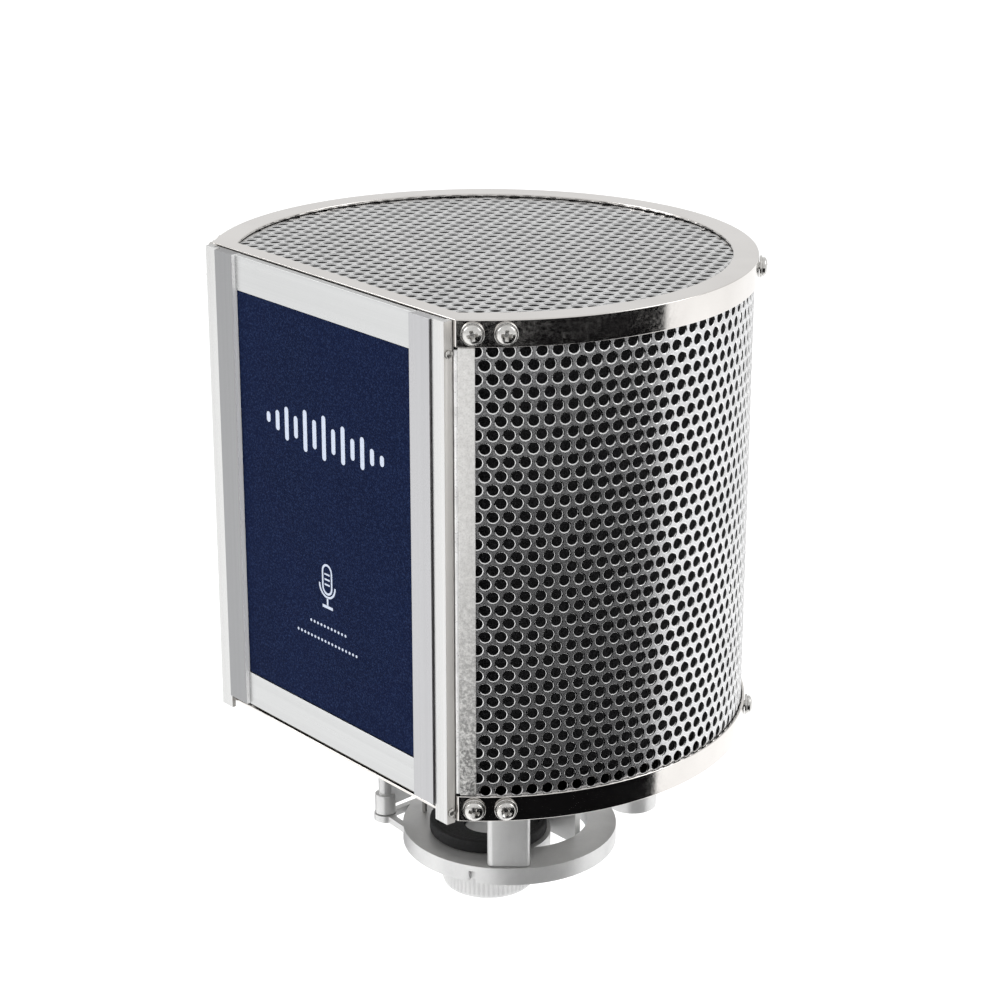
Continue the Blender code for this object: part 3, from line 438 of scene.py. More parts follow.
def floor_paint():
    """A white floor that glows a little, so that it has no dark far edge."""
    made = Finish("pale_floor", (0.93, 0.93, 0.93), 0.9)
    clouds = made.grain(2, 2)
    made.paint(clouds, (0.935, 0.935, 0.935), (0.925, 0.925, 0.925))
    made.shader.inputs["Emission Color"].default_value = WHITE
    made.shader.inputs["Emission Strength"].default_value = FLOOR_GLOW
    return made.material


FINISHES = {
    "nickel": polished_nickel(),
    "sheet": punched_steel("punched_sheet", (0.63, 0.63, 0.64), 0.25, 0.91, 0.004),
    "edge": punched_steel("rolled_edge", (0.80, 0.80, 0.80), 0.15, 1.0, 0.004),
    "wall": punched_steel("sheared_wall", (0.30, 0.30, 0.30), 0.45),
    "grille": punched_steel("punched_grille", (0.70, 0.70, 0.70), 0.28),
    # The two stiles are the same anodised aluminium; the left one is painted darker than the right one as
    # painted shade.
    "stile_right": anodised("anodised_stile_right_painted_light", (0.455, 0.455, 0.465), "z"),
    "stile_left": anodised("anodised_stile_left_painted_shade", (0.295, 0.297, 0.303), "z"),
    # The stiles' side faces: near-white, a painted highlight on their inner sides.
    "painted_highlight_stile_side": anodised("stile_side_painted_highlight", (0.95, 0.95, 0.95), "z", 0.34, 0.2),
    "rail": anodised("anodised_rail", (0.55, 0.555, 0.555), "x"),
    "extrusion": anodised("anodised_extrusion", (0.60, 0.60, 0.595), "z", 0.30),
    # The channels' side faces: paler and warmer than their fronts, a painted highlight that lightens the
    # shadow gap beside the stiles.
    "painted_highlight_channel_side": anodised("channel_side_painted_highlight", (0.74, 0.72, 0.69), "z", 0.42, 0.75),
    "strip": galvanised(),
    "roll": plated_steel("rolled_strip_edge", (0.93, 0.93, 0.92), 0.3, 0.35),
    "screw": plated_steel("chromed_screw", (0.66, 0.65, 0.63), 0.2),
    "zinc": plated_steel("zinc_steel", (0.52, 0.51, 0.49), 0.32),
    "casting": painted_casting(),
    "plastic": moulded_plastic(),
    "rubber": black_rubber(),
    "foam": open_foam(),
    "fabric": woven(
        "navy_cloth", (0.0006, 0.0030, 0.019), (0.0020, 0.0072, 0.036), (0.022, 0.040, 0.108), 1300.0
    ),
    "backing": woven(
        "black_mesh", (0.006, 0.006, 0.007), (0.016, 0.016, 0.017), (0.04, 0.04, 0.042), 900.0
    ),
    "ink": printed_ink(),
}


# ---------------- pieces

def add_object(name, data):
    """A new object in the scene."""
    made = bpy.data.objects.new(name, data)
    bpy.context.scene.collection.objects.link(made)
    return made


def give(mesh, *finishes):
    """Add finishes to a mesh, in the order of its faces' material numbers."""
    for finish in finishes:
        mesh.materials.append(FINISHES[finish])


def link(name, mesh, finish, *nodes, body=None, place=None):
    """Put a mesh in the scene as a piece that stands for CAD nodes, on their body."""
    piece = add_object(name, mesh)
    if not mesh.materials:
        give(mesh, finish)
    if place is not None:
        piece.matrix_world = place
    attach(piece, body or NODES[nodes[0]]["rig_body"])
    if nodes:
        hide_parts(*nodes)
    return piece


def smooth_mesh(mesh, degrees=SHARP_DEGREES):
    mesh.shade_smooth()
    mesh.set_sharp_from_angle(angle=math.radians(degrees))


def add_bevel(piece, width, segments):
    """Round a piece's edges."""
    bevel = piece.modifiers.new("rounded_edges", "BEVEL")
    bevel.width = width
    bevel.segments = segments
    bevel.limit_method = "ANGLE"
    bevel.angle_limit = math.radians(SHARP_DEGREES)
    bevel.harden_normals = True
    return piece


def baked(bm, name):
    """A mesh with what was built in it."""
    mesh = bpy.data.meshes.new(name)
    bm.to_mesh(mesh)
    bm.free()
    return mesh


def mesh_of(bm, name):
    """A mesh with its faces turned outwards, all in its first material."""
    bmesh.ops.recalc_face_normals(bm, faces=bm.faces)
    for face in bm.faces:
        face.material_index = 0
    return baked(bm, name)


def cad_bmesh(node):
    """A CAD node's solid with its split corners joined and its flat faces whole."""
    bm = bmesh.new()
    bm.from_mesh(NODES[node].data)
    bmesh.ops.remove_doubles(bm, verts=bm.verts, dist=SAME_PLACE)
    flat = math.radians(FLAT_DEGREES)
    bmesh.ops.dissolve_limit(bm, angle_limit=flat, verts=bm.verts, edges=bm.edges)
    return bm


def dressed(node, finish, width, segments):
    """A CAD node's own shape with its edges rounded."""
    mesh = mesh_of(cad_bmesh(node), node + "_shape")
    smooth_mesh(mesh)
    piece = link(node + "_finished", mesh, finish, node)
    return add_bevel(piece, width, segments)


def finish_sides(piece, finish, sign):
    """A second finish on the faces that look sideways, used for a painted highlight; a sign of 0 takes both
    sides.
    """
    give(piece.data, finish)
    for face in piece.data.polygons:
        sideways = face.normal.x * sign if sign else abs(face.normal.x)
        face.material_index = 1 if sideways > SIDEWAYS else 0


def build_aluminium():
    """The channels and stiles, with their side faces painted paler than the front ones as a painted
    highlight.
    """
    for side, inner in (("right", -1), ("left", 1)):
        channel = dressed("extrusion_" + side, "extrusion", DRAWN_BEVEL, 3)
        finish_sides(channel, "painted_highlight_channel_side", 0)
        stile = dressed("screen_stile_" + side, "stile_" + side, DRAWN_BEVEL, 3)
        finish_sides(stile, "painted_highlight_stile_side", inner)


def level_row(bm, points, height):
    """Corners over (x, y) points, all at one height."""
    return [bm.verts.new((x, y, height)) for x, y in points]


def join_rows(bm, rows, closed=True):
    """Faces between each row of corners and the next, round each row or from end to end."""
    count = len(rows[0])
    for here, after in zip(rows, rows[1:]):
        for i in range(count if closed else count - 1):
            j = (i + 1) % count
            bm.faces.new((here[i], here[j], after[j], after[i]))


def add_solid(bm, rows):
    """A closed solid through rows of corners, lowest first."""
    bm.faces.new(rows[0][::-1])
    bm.faces.new(rows[-1])
    join_rows(bm, rows)


def build_rolls():
    """The rolled front edge of each folded strip, beside the channel."""
    for side, sign in (("right", 1), ("left", -1)):
        low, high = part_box("edge_strip_" + side)
        ring = ring_points(ROLL_R, ROLL_SIDES, (sign * ROLL_X, ROLL_Y))
        bm = bmesh.new()
        ends = (low.z + ROLL_R, high.z - ROLL_R)
        add_solid(bm, [level_row(bm, ring, height) for height in ends])
        mesh = mesh_of(bm, "strip_roll_" + side)
        smooth_mesh(mesh, TURNED_SHARP_DEGREES)
        link("strip_roll_" + side, mesh, "roll", body=NODES["edge_strip_" + side]["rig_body"])


def applied(piece):
    """A mesh with the piece's modifiers in it."""
    bpy.context.view_layer.update()
    seen = piece.evaluated_get(bpy.context.evaluated_depsgraph_get())
    return bpy.data.meshes.new_from_object(seen)


def ring_points(radius, count, centre=(0.0, 0.0), start=0.0, turn=WHOLE_TURN):
    """Points round a circle, or on an arc with both ends."""
    whole = abs(turn - WHOLE_TURN) < TINY
    steps = count if whole else count - 1
    angles = [start + turn * i / steps for i in range(count)]
    return [(centre[0] + radius * math.cos(a), centre[1] + radius * math.sin(a)) for a in angles]


def turned_bmesh(profile, sides):
    """A closed solid turned about z from (radius, height) points, lowest first."""
    bm = bmesh.new()
    rings = []
    for radius, height in profile:
        if radius < TINY:
            rings.append([bm.verts.new((0.0, 0.0, height))])
            continue
        rings.append(level_row(bm, ring_points(radius, sides), height))
    for low, high in zip(rings, rings[1:]):
        for i in range(sides):
            j = (i + 1) % sides
            corners = [low[i % len(low)], low[j % len(low)], high[j % len(high)], high[i % len(high)]]
            bm.faces.new(list(dict.fromkeys(corners)))
    for ring, flip in ((rings[0], True), (rings[-1], False)):
        if len(ring) > 2:
            bm.faces.new(ring[::-1] if flip else ring)
    return bm


# ---------------- punched sheet

def clip_outline(points, edge_start, edge_end):
    """The part of a convex outline on the left of a line."""
    way = (edge_end[0] - edge_start[0], edge_end[1] - edge_start[1])

    def side(p):
        return way[0] * (p[1] - edge_start[1]) - way[1] * (p[0] - edge_start[0])

    kept = []
    for a, b in zip(points, points[1:] + points[:1]):
        side_a, side_b = side(a), side(b)
        if side_a >= -ON_LINE:
            kept.append(a)
        if (side_a > ON_LINE and side_b < -ON_LINE) or (side_a < -ON_LINE and side_b > ON_LINE):
            share = side_a / (side_a - side_b)
            kept.append((a[0] + (b[0] - a[0]) * share, a[1] + (b[1] - a[1]) * share))
    return kept


class Punched:
    """A sheet with punched holes, built flat in (u, v) and then bent into place."""

    def __init__(self, outline, pitch, step):
        self.outline = outline
        self.pitch = pitch
        self.step = step
        self.points = []
        self.depths = []
        self.inward = []
        self.known = {}
        self.faces = []
        self.kinds = []

    def corner(self, u, v, back):
        """The number of a shared corner of the cells' front or back."""
        key = (round(u * CORNERS_PER_METRE), round(v * CORNERS_PER_METRE), back)
        if key not in self.known:
            self.known[key] = self.add(u, v, 1.0 if back else 0.0, (0.0, 0.0))
        return self.known[key]

    def add(self, u, v, depth, inward):
        """The number of a new corner; inward is the way to its hole's middle."""
        self.points.append((u, v))
        self.depths.append(depth)
        self.inward.append(inward)
        return len(self.points) - 1

    def face(self, kind, *corners):
        """A face of one kind: front, back, edge, wall or side."""
        self.faces.append(corners)
        self.kinds.append(kind)

    def cell(self, u, v, punched):
        """One cell of the pattern round a hole's centre."""
        half, rise = self.pitch / 2, self.step / 2
        shape = [(-half, -rise), (0, -rise), (half, -rise), (half, rise), (0, rise), (-half, rise)]
        shape = [(u + a, v + b) for a, b in shape]
        for start, end in zip(self.outline, self.outline[1:] + self.outline[:1]):
            shape = clip_outline(shape, start, end)
            if len(shape) < 3:
                return
        front = [self.corner(a, b, False) for a, b in shape]
        back = [self.corner(a, b, True) for a, b in shape]
        if len(set(front)) < 3:
            return
        if not punched:
            self.face("front", *dict.fromkeys(front))
            self.face("back", *list(dict.fromkeys(back))[::-1])
            return
        around = [math.atan2(b - v, a - u) for a, b in shape]
        rings = self.hole(u, v)
        self.bridge(rings[0], front, around, "front")
        self.bridge(rings[2], back, around, "back")

    def hole(self, u, v):
        """The rolled edge and the wall of one hole; returns its rings from front to back."""
        rings = []
        for radius, depth in ((HOLE_EDGE_R, 0.0), (HOLE_R, HOLE_EDGE_DEPTH), (HOLE_R, 1.0)):
            ring = []
            for a, b in ring_points(1.0, HOLE_SIDES):
                ring.append(self.add(u + radius * a, v + radius * b, depth, (-a, -b)))
            rings.append(ring)
        for kind, outer, inner in (("edge", rings[0], rings[1]), ("wall", rings[1], rings[2])):
            for i in range(HOLE_SIDES):
                j = (i + 1) % HOLE_SIDES
                self.face(kind, outer[i], outer[j], inner[j], inner[i])
        return rings

    def bridge(self, ring, shape, around, kind):
        """Triangles between a hole's ring and the outline of its cell."""
        count = len(ring)
        nearest = []
        for i in range(count):
            middle = WHOLE_TURN * (i + 0.5) / count
            gaps = [abs(math.remainder(middle - angle, WHOLE_TURN)) for angle in around]
            nearest.append(gaps.index(min(gaps)))
        flip = kind == "back"
        for i in range(count):
            j = (i + 1) % count
            here, after = nearest[i], nearest[j]
            self.triangle(kind, flip, ring[i], shape[here], ring[j])
            while here != after:
                follow = (here + 1) % len(shape)
                self.triangle(kind, flip, shape[here], shape[follow], ring[j])
                here = follow

    def triangle(self, kind, flip, a, b, c):
        """A triangle with three corners of its own, turned over where it faces back."""
        if len({a, b, c}) == 3:
            self.face(kind, *((a, c, b) if flip else (a, b, c)))

    def rim(self):
        """Walls along the open outline, between front and back."""
        twin = {}
        for (u, v, back), index in self.known.items():
            twin.setdefault((u, v), {})[back] = index
        behind = {pair[False]: pair[True] for pair in twin.values() if len(pair) == 2}
        used = {}
        for face, kind in zip(self.faces, self.kinds):
            if kind == "front":
                for edge in zip(face, face[1:] + face[:1]):
                    used[edge] = True
        for a, b in used:
            if (b, a) not in used and a in behind and b in behind:
                self.face("side", b, a, behind[a], behind[b])

    def mesh(self, name, bend, thickness):
        """The bent mesh, its normals true to the bent surface."""
        self.rim()
        places, out, across, up = bend(np.array(self.points), np.array(self.depths), thickness)
        mesh = bpy.data.meshes.new(name)
        mesh.from_pydata(places.tolist(), [], self.faces)
        mesh.update()
        inward = np.array(self.inward)
        inside = across * inward[:, :1] + up * inward[:, 1:]
        tilted = out * math.cos(HOLE_EDGE_TILT) + inside * math.sin(HOLE_EDGE_TILT)
        corners = np.zeros(len(mesh.loops), int)
        mesh.loops.foreach_get("vertex_index", corners)
        kinds = np.repeat(self.kinds, [len(face) for face in self.faces])
        normals = np.zeros((len(corners), 3))
        on_front = np.array(self.depths)[corners] == 0.0
        for kind, chosen in (("front", out), ("back", -out), ("wall", inside), ("edge", tilted)):
            where = kinds == kind
            normals[where] = chosen[corners[where]]
        rolled = (kinds == "edge") & on_front
        normals[rolled] = out[corners[rolled]]
        mesh.shade_smooth()
        mesh.normals_split_custom_set(normals.tolist())
        finishes = {"edge": 1, "wall": 2}
        mesh.polygons.foreach_set("material_index", [finishes.get(kind, 0) for kind in self.kinds])
        return mesh


def bend_round_case(radius):
    """Places on the case's wall: u runs along the arc, v is the height."""

    def bend(points, depths, thickness):
        angle = points[:, 0] / radius
        out = np.stack([np.cos(angle), np.sin(angle), np.zeros(len(angle))], 1)
        across = np.stack([-np.sin(angle), np.cos(angle), np.zeros(len(angle))], 1)
        up = np.tile([0.0, 0.0, 1.0], (len(angle), 1))
        depth = np.where(depths == 1.0, thickness, depths)
        places = out * (radius - depth)[:, None]
        places[:, 1] += CASE_Y
        places[:, 2] = points[:, 1]
        return places, out, across, up

    return bend


def lay_flat(height):
    """Places on a level sheet: u is x and v is y."""

    def bend(points, depths, thickness):
        count = len(points)
        depth = np.where(depths == 1.0, thickness, depths)
        places = np.column_stack([points, height - depth])
        out = np.tile([0.0, 0.0, 1.0], (count, 1))
        across = np.tile([1.0, 0.0, 0.0], (count, 1))
        up = np.tile([0.0, 1.0, 0.0], (count, 1))
        return places, out, across, up

    return bend


def build_shell():
    """The curved punched sheet."""
    low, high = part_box("perforated_shell")
    radius = high.x
    start = math.atan2(low.y - CASE_Y, math.sqrt(radius ** 2 - (low.y - CASE_Y) ** 2))
    first, last = start * radius, (math.pi - start) * radius
    outline = [(first, low.z), (last, low.z), (last, high.z), (first, high.z)]
    pitch = (math.pi - 2 * FIRST_HOLE_ANGLE) / HOLES_IN_ROW * radius
    sheet = Punched(outline, pitch, ROW_STEP)
    for row in range(-SPARE_CELLS, ROWS + SPARE_CELLS):
        shift = 0.0 if (ROWS - 1 - row) % 2 == 0 else 0.5
        v = LAST_HOLES_Z + row * ROW_STEP
        for column in range(-SPARE_CELLS, HOLES_IN_ROW + 1 + SPARE_CELLS):
            u = FIRST_HOLE_ANGLE * radius + (column + shift) * pitch
            inside = first + HOLE_EDGE_R < u < last - HOLE_EDGE_R
            sheet.cell(u, v, inside and 0 <= row < ROWS)
    mesh = sheet.mesh("punched_shell", bend_round_case(radius), SHEET_THICKNESS)
    give(mesh, "sheet", "edge", "wall")
    link("punched_shell", mesh, "sheet", "perforated_shell")


def build_grille():
    """The flat punched sheet under the top rim."""
    low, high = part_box("top_grille")
    radius = high.y - CASE_Y
    reach = math.asin((CASE_Y - low.y) / radius)
    outline = ring_points(radius, GRILLE_ARC_STEPS, (0.0, CASE_Y), -reach, math.pi + 2 * reach)
    sheet = Punched(outline, GRILLE_PITCH, ROW_STEP)
    rows = int((high.y - low.y) / ROW_STEP) + SPARE_CELLS
    columns = int(high.x / GRILLE_PITCH) + SPARE_CELLS
    clear = HOLE_EDGE_R + GRILLE_MARGIN
    for row in range(-SPARE_CELLS, rows):
        shift = 0.5 if row % 2 == 0 else 0.0
        v = CASE_FRONT + GRILLE_FIRST_ROW + row * ROW_STEP
        for column in range(-columns, columns + 1):
            u = (column + shift) * GRILLE_PITCH
            inside = math.hypot(u, v - CASE_Y) < radius - clear and v > low.y + clear
            sheet.cell(u, v, inside)
    mesh = sheet.mesh("punched_grille", lay_flat(high.z), high.z - low.z)
    give(mesh, "grille", "grille", "wall")
    link("punched_top_grille", mesh, "grille", "top_grille")


# ---------------- rims and metal

def rim_section(low, high, upper):
    """The rim's section as (radius, height, setback of its front end)."""
    face, root = (high, low) if upper else (low, high)
    inner_face = face - RIM_PLATE if upper else face + RIM_PLATE
    skirt_r, lip_r = CASE_R - RIM_PLATE, CASE_R - RIM_FLANGE
    return [
        (CASE_R, root, 0.0),
        (CASE_R, face, 0.0),
        (lip_r, face, RIM_BAND),
        (lip_r, inner_face, RIM_BAND),
        (skirt_r, inner_face, 0.0),
        (skirt_r, root, 0.0),
    ]


def build_rim(node, upper):
    """A rim with its skirt and its straight front band in one sheet."""
    low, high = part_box(node)
    bm = bmesh.new()
    paths = []
    for radius, height, setback in rim_section(low.z, high.z, upper):
        reach = math.asin((CASE_Y - CASE_FRONT - setback) / radius)
        arc = ring_points(radius, ARC_STEPS, (0.0, CASE_Y), -reach, math.pi + 2 * reach)
        paths.append(level_row(bm, arc, height))
    join_rows(bm, paths + paths[:1], closed=False)
    # The band across the front: its face, back edge, underside and front edge, then the skirt's ends.
    for here, after in zip(paths[1:4], paths[2:5]):
        bm.faces.new((here[-1], here[0], after[0], after[-1]))
    bm.faces.new((paths[4][-1], paths[4][0], paths[1][0], paths[1][-1]))
    for end in (0, -1):
        bm.faces.new([paths[i][end] for i in (0, 1, 4, 5)])
    mesh = mesh_of(bm, node + "_shape")
    smooth_mesh(mesh)
    add_bevel(link(node + "_polished", mesh, "nickel", node), RIM_BEVEL, 3)


def screw_profile(head_r, head_h, shank_r, shank_h, washer_r, washer_h):
    """A pan-head screw as (radius, height) points from its tip up, its seat at height 0."""
    profile = [(0.0, -shank_h), (shank_r * TIP_R, -shank_h), (shank_r, -shank_h + TIP_RISE), (shank_r, 0.0)]
    if washer_r:
        slim_r = washer_r - WASHER_LIP
        profile += [(slim_r, 0.0), (washer_r, WASHER_LIP), (washer_r, washer_h - WASHER_LIP)]
        profile += [(slim_r, washer_h), (head_r * WASHER_BORE, washer_h)]
    profile.append((head_r * HEAD_FOOT_R, washer_h + SAME_PLACE))
    profile += [(head_r, washer_h + head_h * share) for share in (HEAD_FOOT, HEAD_WALL)]
    for i in range(1, DOME_STEPS):
        angle = math.pi / 2 * i / DOME_STEPS
        rise = HEAD_WALL + (1 - HEAD_WALL) * math.sin(angle)
        profile.append((head_r * math.cos(angle), washer_h + head_h * rise))
    return profile + [(0.0, washer_h + head_h)]


def pan_screw(name, head_r, head_h, shank_r, shank_h, washer=(0.0, 0.0)):
    """A pan-head screw with a cross recess, its seat at z 0 and its shank below."""
    profile = screw_profile(head_r, head_h, shank_r, shank_h, *washer)
    piece = add_object(name, mesh_of(turned_bmesh(profile, SCREW_SIDES), name))
    cutter = add_object(name + "_recess", cross_cutter(head_r, washer[1] + head_h))
    cut = piece.modifiers.new("recess", "BOOLEAN")
    cut.operation = "DIFFERENCE"
    cut.solver = "EXACT"
    cut.object = cutter
    mesh = applied(piece)
    smooth_mesh(mesh, SCREW_SHARP_DEGREES)
    bpy.data.objects.remove(piece)
    bpy.data.objects.remove(cutter)
    return mesh


def cross_outline(reach, width):
    """The twelve corners of a cross with four equal arms."""
    arm = [(reach, -width), (reach, width), (width, width)]
    outline = []
    for quarter in range(4):
        for x, y in arm:
            for _ in range(quarter):
                x, y = -y, x
            outline.append((x, y))
    return outline


def cross_cutter(head_r, top):
    """The tapered cross of a screwdriver's recess."""
    bm = bmesh.new()
    reach, width = head_r * RECESS_REACH, head_r * RECESS_WIDTH
    foot = cross_outline(reach * RECESS_FOOT_REACH, width * RECESS_FOOT_WIDTH)
    mouth = cross_outline(reach, width)
    rows = []
    for outline, height in ((foot, top - head_r * RECESS_DEPTH), (mouth, top), (mouth, top + 1.0 * MM)):
        rows.append(level_row(bm, outline, height))
    add_solid(bm, rows)
    return mesh_of(bm, "cross_recess")


def place_screw(mesh, node, seat, out, finish, spin=0.0):
    """One screw at a point, its head towards out."""
    turn = Vector(out).to_track_quat("Z", "Y").to_matrix().to_4x4()
    place = Matrix.Translation(seat) @ turn @ Matrix.Rotation(spin, 4, "Z")
    link(node + "_finished", mesh, finish, node, place=place)


def build_rim_screws():
    """The screws of the rims with their washers, each turned to an angle of its own."""
    mesh = pan_screw("rim_screw", *RIM_SCREW, RIM_SHANK, RIM_WASHER)
    for level, first_spin in (("top", TOP_SPIN), ("bottom", 0.0)):
        for number in range(1, RIM_SCREWS + 1):
            node = f"rim_screw_{level}_{number}"
            low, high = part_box(node)
            middle = (low + high) / 2
            out = Vector((middle.x, middle.y - CASE_Y, 0.0)).normalized()
            seat = Vector((0.0, CASE_Y, middle.z)) + out * (CASE_R + RIM_WASHER_GAP)
            place_screw(mesh, node, seat, out, "screw", spin=first_spin + SPIN_STEP * number)


def screw_in_box(node, size, out):
    """A screw as long as its CAD solid and in its place, its head towards out."""
    low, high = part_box(node)
    out = Vector(out)
    length = abs((high - low).dot(out))
    head_h = size[1]
    mesh = pan_screw(node, *size, length - head_h)
    seat = (low + high) / 2 + out * (length / 2 - head_h)
    place_screw(mesh, node, seat, out, "zinc")


def build_small_screws():
    """The screws of the brackets, cradle, post, stops and clamps."""
    for name in ("back", "wide", "side"):
        screw_in_box("bracket_screw_" + name, CRADLE_SCREW, (0, 0, 1))
        screw_in_box("cradle_screw_" + name, CRADLE_SCREW, (0, 0, -1))
    screw_in_box("stand_post_screw", POST_SCREW, (0, 0, 1))
    for side, label in ((1, "right"), (-1, "left")):
        for kind in ("stop_screw_", "clamp_screw_"):
            screw_in_box(kind + label, SIDE_SCREW, (side, 0, 0))


# ---------------- cloth, print and foam

def cloth_wave(x, z):
    """Uneven stretch of a cloth, mostly from 0 to 1: long waves with short ones on them."""
    long_wave = noise.noise(Vector((x * 30, 0.0, z * 9)))
    short_wave = noise.noise(Vector((x * 90, 3.0, z * 40)))
    return 0.5 + 0.5 * (long_wave + 0.5 * short_wave)


def cloth_grid(bm, low, high, face_y, ripple):
    """Rows of corners over one face of a cloth, drawn in a little between its edges."""
    grid = []
    for j in range(CLOTH_ROWS + 1):
        line = []
        for i in range(CLOTH_COLUMNS + 1):
            a, b = i / CLOTH_COLUMNS, j / CLOTH_ROWS
            x = low.x + (high.x - low.x) * a
            z = low.z + (high.z - low.z) * b
            drawn = min(1.0, CLOTH_HOLD * min(a, 1 - a)) * min(1.0, CLOTH_HOLD * min(b, 1 - b))
            line.append(bm.verts.new((x, face_y + ripple * drawn * cloth_wave(x, z), z)))
        grid.append(line)
    return grid


def cloth_panel(node, finish, ripple):
    """Cloth stretched over a frame as a slim closed sheet, and its flat size."""
    low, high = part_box(node)
    bm = bmesh.new()
    layers = [cloth_grid(bm, low, high, face_y, ripple) for face_y in (low.y, high.y)]
    for grid in layers:
        join_rows(bm, grid, closed=False)
    columns, rows = CLOTH_COLUMNS, CLOTH_ROWS
    border = [(i, 0) for i in range(columns)] + [(columns, j) for j in range(rows)]
    border += [(i, rows) for i in range(columns, 0, -1)] + [(0, j) for j in range(rows, 0, -1)]
    join_rows(bm, [[grid[j][i] for i, j in border] for grid in layers])
    mesh = mesh_of(bm, node + "_cloth")
    smooth_mesh(mesh)
    return link(node + "_cloth", mesh, finish, node), (high.x - low.x, high.z - low.z)


def add_plate(bm, outline, y_front, y_back):
    """A slim upright prism over an outline of (x, z) points."""
    front = [bm.verts.new((x, y_front, z)) for x, z in outline]
    back = [bm.verts.new((x, y_back, z)) for x, z in outline]
    bm.faces.new(front)
    bm.faces.new(back[::-1])
    join_rows(bm, [front, back])


def add_ring_plate(bm, outer, inner, y_front, y_back, closed=True):
    """A slim upright strip between two rows of (x, z) points."""
    rows = [
        [bm.verts.new((x, y, z)) for x, z in row]
        for row, y in ((outer, y_front), (outer, y_back), (inner, y_back), (inner, y_front))
    ]
    join_rows(bm, rows + rows[:1], closed)
    if not closed:
        for end in (0, -1):
            bm.faces.new([row[end] for row in rows])


def pill(x, z, half_width, half_height, sides=10):
    """A bar with round ends."""
    reach = half_height - half_width
    top = ring_points(half_width, sides, (x, z + reach), 0.0, math.pi)
    return top + ring_points(half_width, sides, (x, z - reach), math.pi, math.pi)


def add_wave(bm, middle, z, faces):
    """A row of upright bars like a recorded sound."""
    for i, half in enumerate(WAVE_HALF_HEIGHTS):
        x = middle + (i - (len(WAVE_HALF_HEIGHTS) - 1) / 2) * WAVE_PITCH
        add_plate(bm, pill(x, z, WAVE_BAR_R, half * MM), *faces)


def add_microphone(bm, middle, head_z, faces):
    """A plain microphone sign: head, three bars, yoke, stem and foot."""
    outer = pill(middle, head_z, SIGN_HEAD_R, SIGN_HEAD_HALF)
    inner = pill(middle, head_z, SIGN_HEAD_R - SIGN_LINE, SIGN_HEAD_HALF - SIGN_LINE)
    add_ring_plate(bm, outer, inner, *faces)
    for step in (-1, 0, 1):
        z = head_z + step * SIGN_BAR_STEP
        left, right = middle - SIGN_BAR_HALF, middle + SIGN_BAR_HALF
        low, high = z - SIGN_BAR_R, z + SIGN_BAR_R
        add_plate(bm, [(left, low), (right, low), (right, high), (left, high)], *faces)
    yoke_z = head_z - SIGN_YOKE_DROP
    outer, inner = (
        ring_points(radius, 24, (middle, yoke_z), math.pi, math.pi)
        for radius in (SIGN_YOKE_R, SIGN_YOKE_R - SIGN_LINE)
    )
    add_ring_plate(bm, outer, inner, *faces, closed=False)
    stem = [(-0.5, -5.4), (0.5, -5.4), (0.5, -8.6), (-0.5, -8.6)]
    foot = [(-3.4, -8.7), (3.4, -8.7), (3.4, -9.9), (-3.4, -9.9)]
    for shape in (stem, foot):
        add_plate(bm, [(middle + a * MM, yoke_z + b * MM) for a, b in shape], *faces)


def build_print():
    """A plain sound-wave mark, a microphone sign and two rows of dots, without lettering."""
    low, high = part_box("screen_front_fabric")
    middle = (low.x + high.x) / 2
    faces = (low.y - INK_RAISED, low.y + INK_SUNK)
    bm = bmesh.new()
    add_wave(bm, middle, low.z + WAVE_Z, faces)
    add_microphone(bm, middle, low.z + SIGN_Z, faces)
    for dots, first, above_foot in ((11, -11.5 * MM, 37.0 * MM), (18, -20.5 * MM, 30.5 * MM)):
        for i in range(dots):
            dot = ring_points(DOT_R, 12, (middle + first + i * DOT_PITCH, low.z + above_foot))
            add_plate(bm, dot, *faces)
    mesh = mesh_of(bm, "front_print")
    return link("front_print", mesh, "ink", body=NODES["screen_front_fabric"]["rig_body"])


def build_cloths():
    """The two cloths of the pop screen and the print on the front one."""
    front, flat = cloth_panel("screen_front_fabric", "fabric", FRONT_RIPPLE)
    mark = build_print()
    back, flat = cloth_panel("screen_back_fabric", "backing", BACK_RIPPLE)


def build_foam(node):
    """Cut foam: the solid's corners softened and its faces broken by open cells."""
    piece = add_object(node + "_block", mesh_of(cad_bmesh(node), node + "_block"))
    remesh = piece.modifiers.new("cells", "REMESH")
    remesh.mode = "VOXEL"
    remesh.voxel_size = FOAM_VOXEL
    soften = piece.modifiers.new("soften", "SMOOTH")
    soften.factor = 0.5
    soften.iterations = 4
    soft = applied(piece)
    bpy.data.objects.remove(piece)
    low, high = (np.array(corner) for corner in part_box(node))
    count = len(soft.vertices)
    places, normals = np.zeros(3 * count), np.zeros(3 * count)
    soft.vertices.foreach_get("co", places)
    soft.vertices.foreach_get("normal", normals)
    places, normals = places.reshape(-1, 3), normals.reshape(-1, 3)
    pits = []
    for place in places.tolist():
        where = Vector(place) * PITS_PER_METRE
        pits.append(0.6 * noise.noise(where) + 0.4 * noise.noise(where * 2.3))
    places -= normals * (FOAM_PIT * (0.5 + 0.5 * np.array(pits)))[:, None]
    soft.vertices.foreach_set("co", np.clip(places, low, high).ravel())
    soft.shade_smooth()
    cut = link(node + "_cut", soft, "foam", node)


# ---------------- cradle

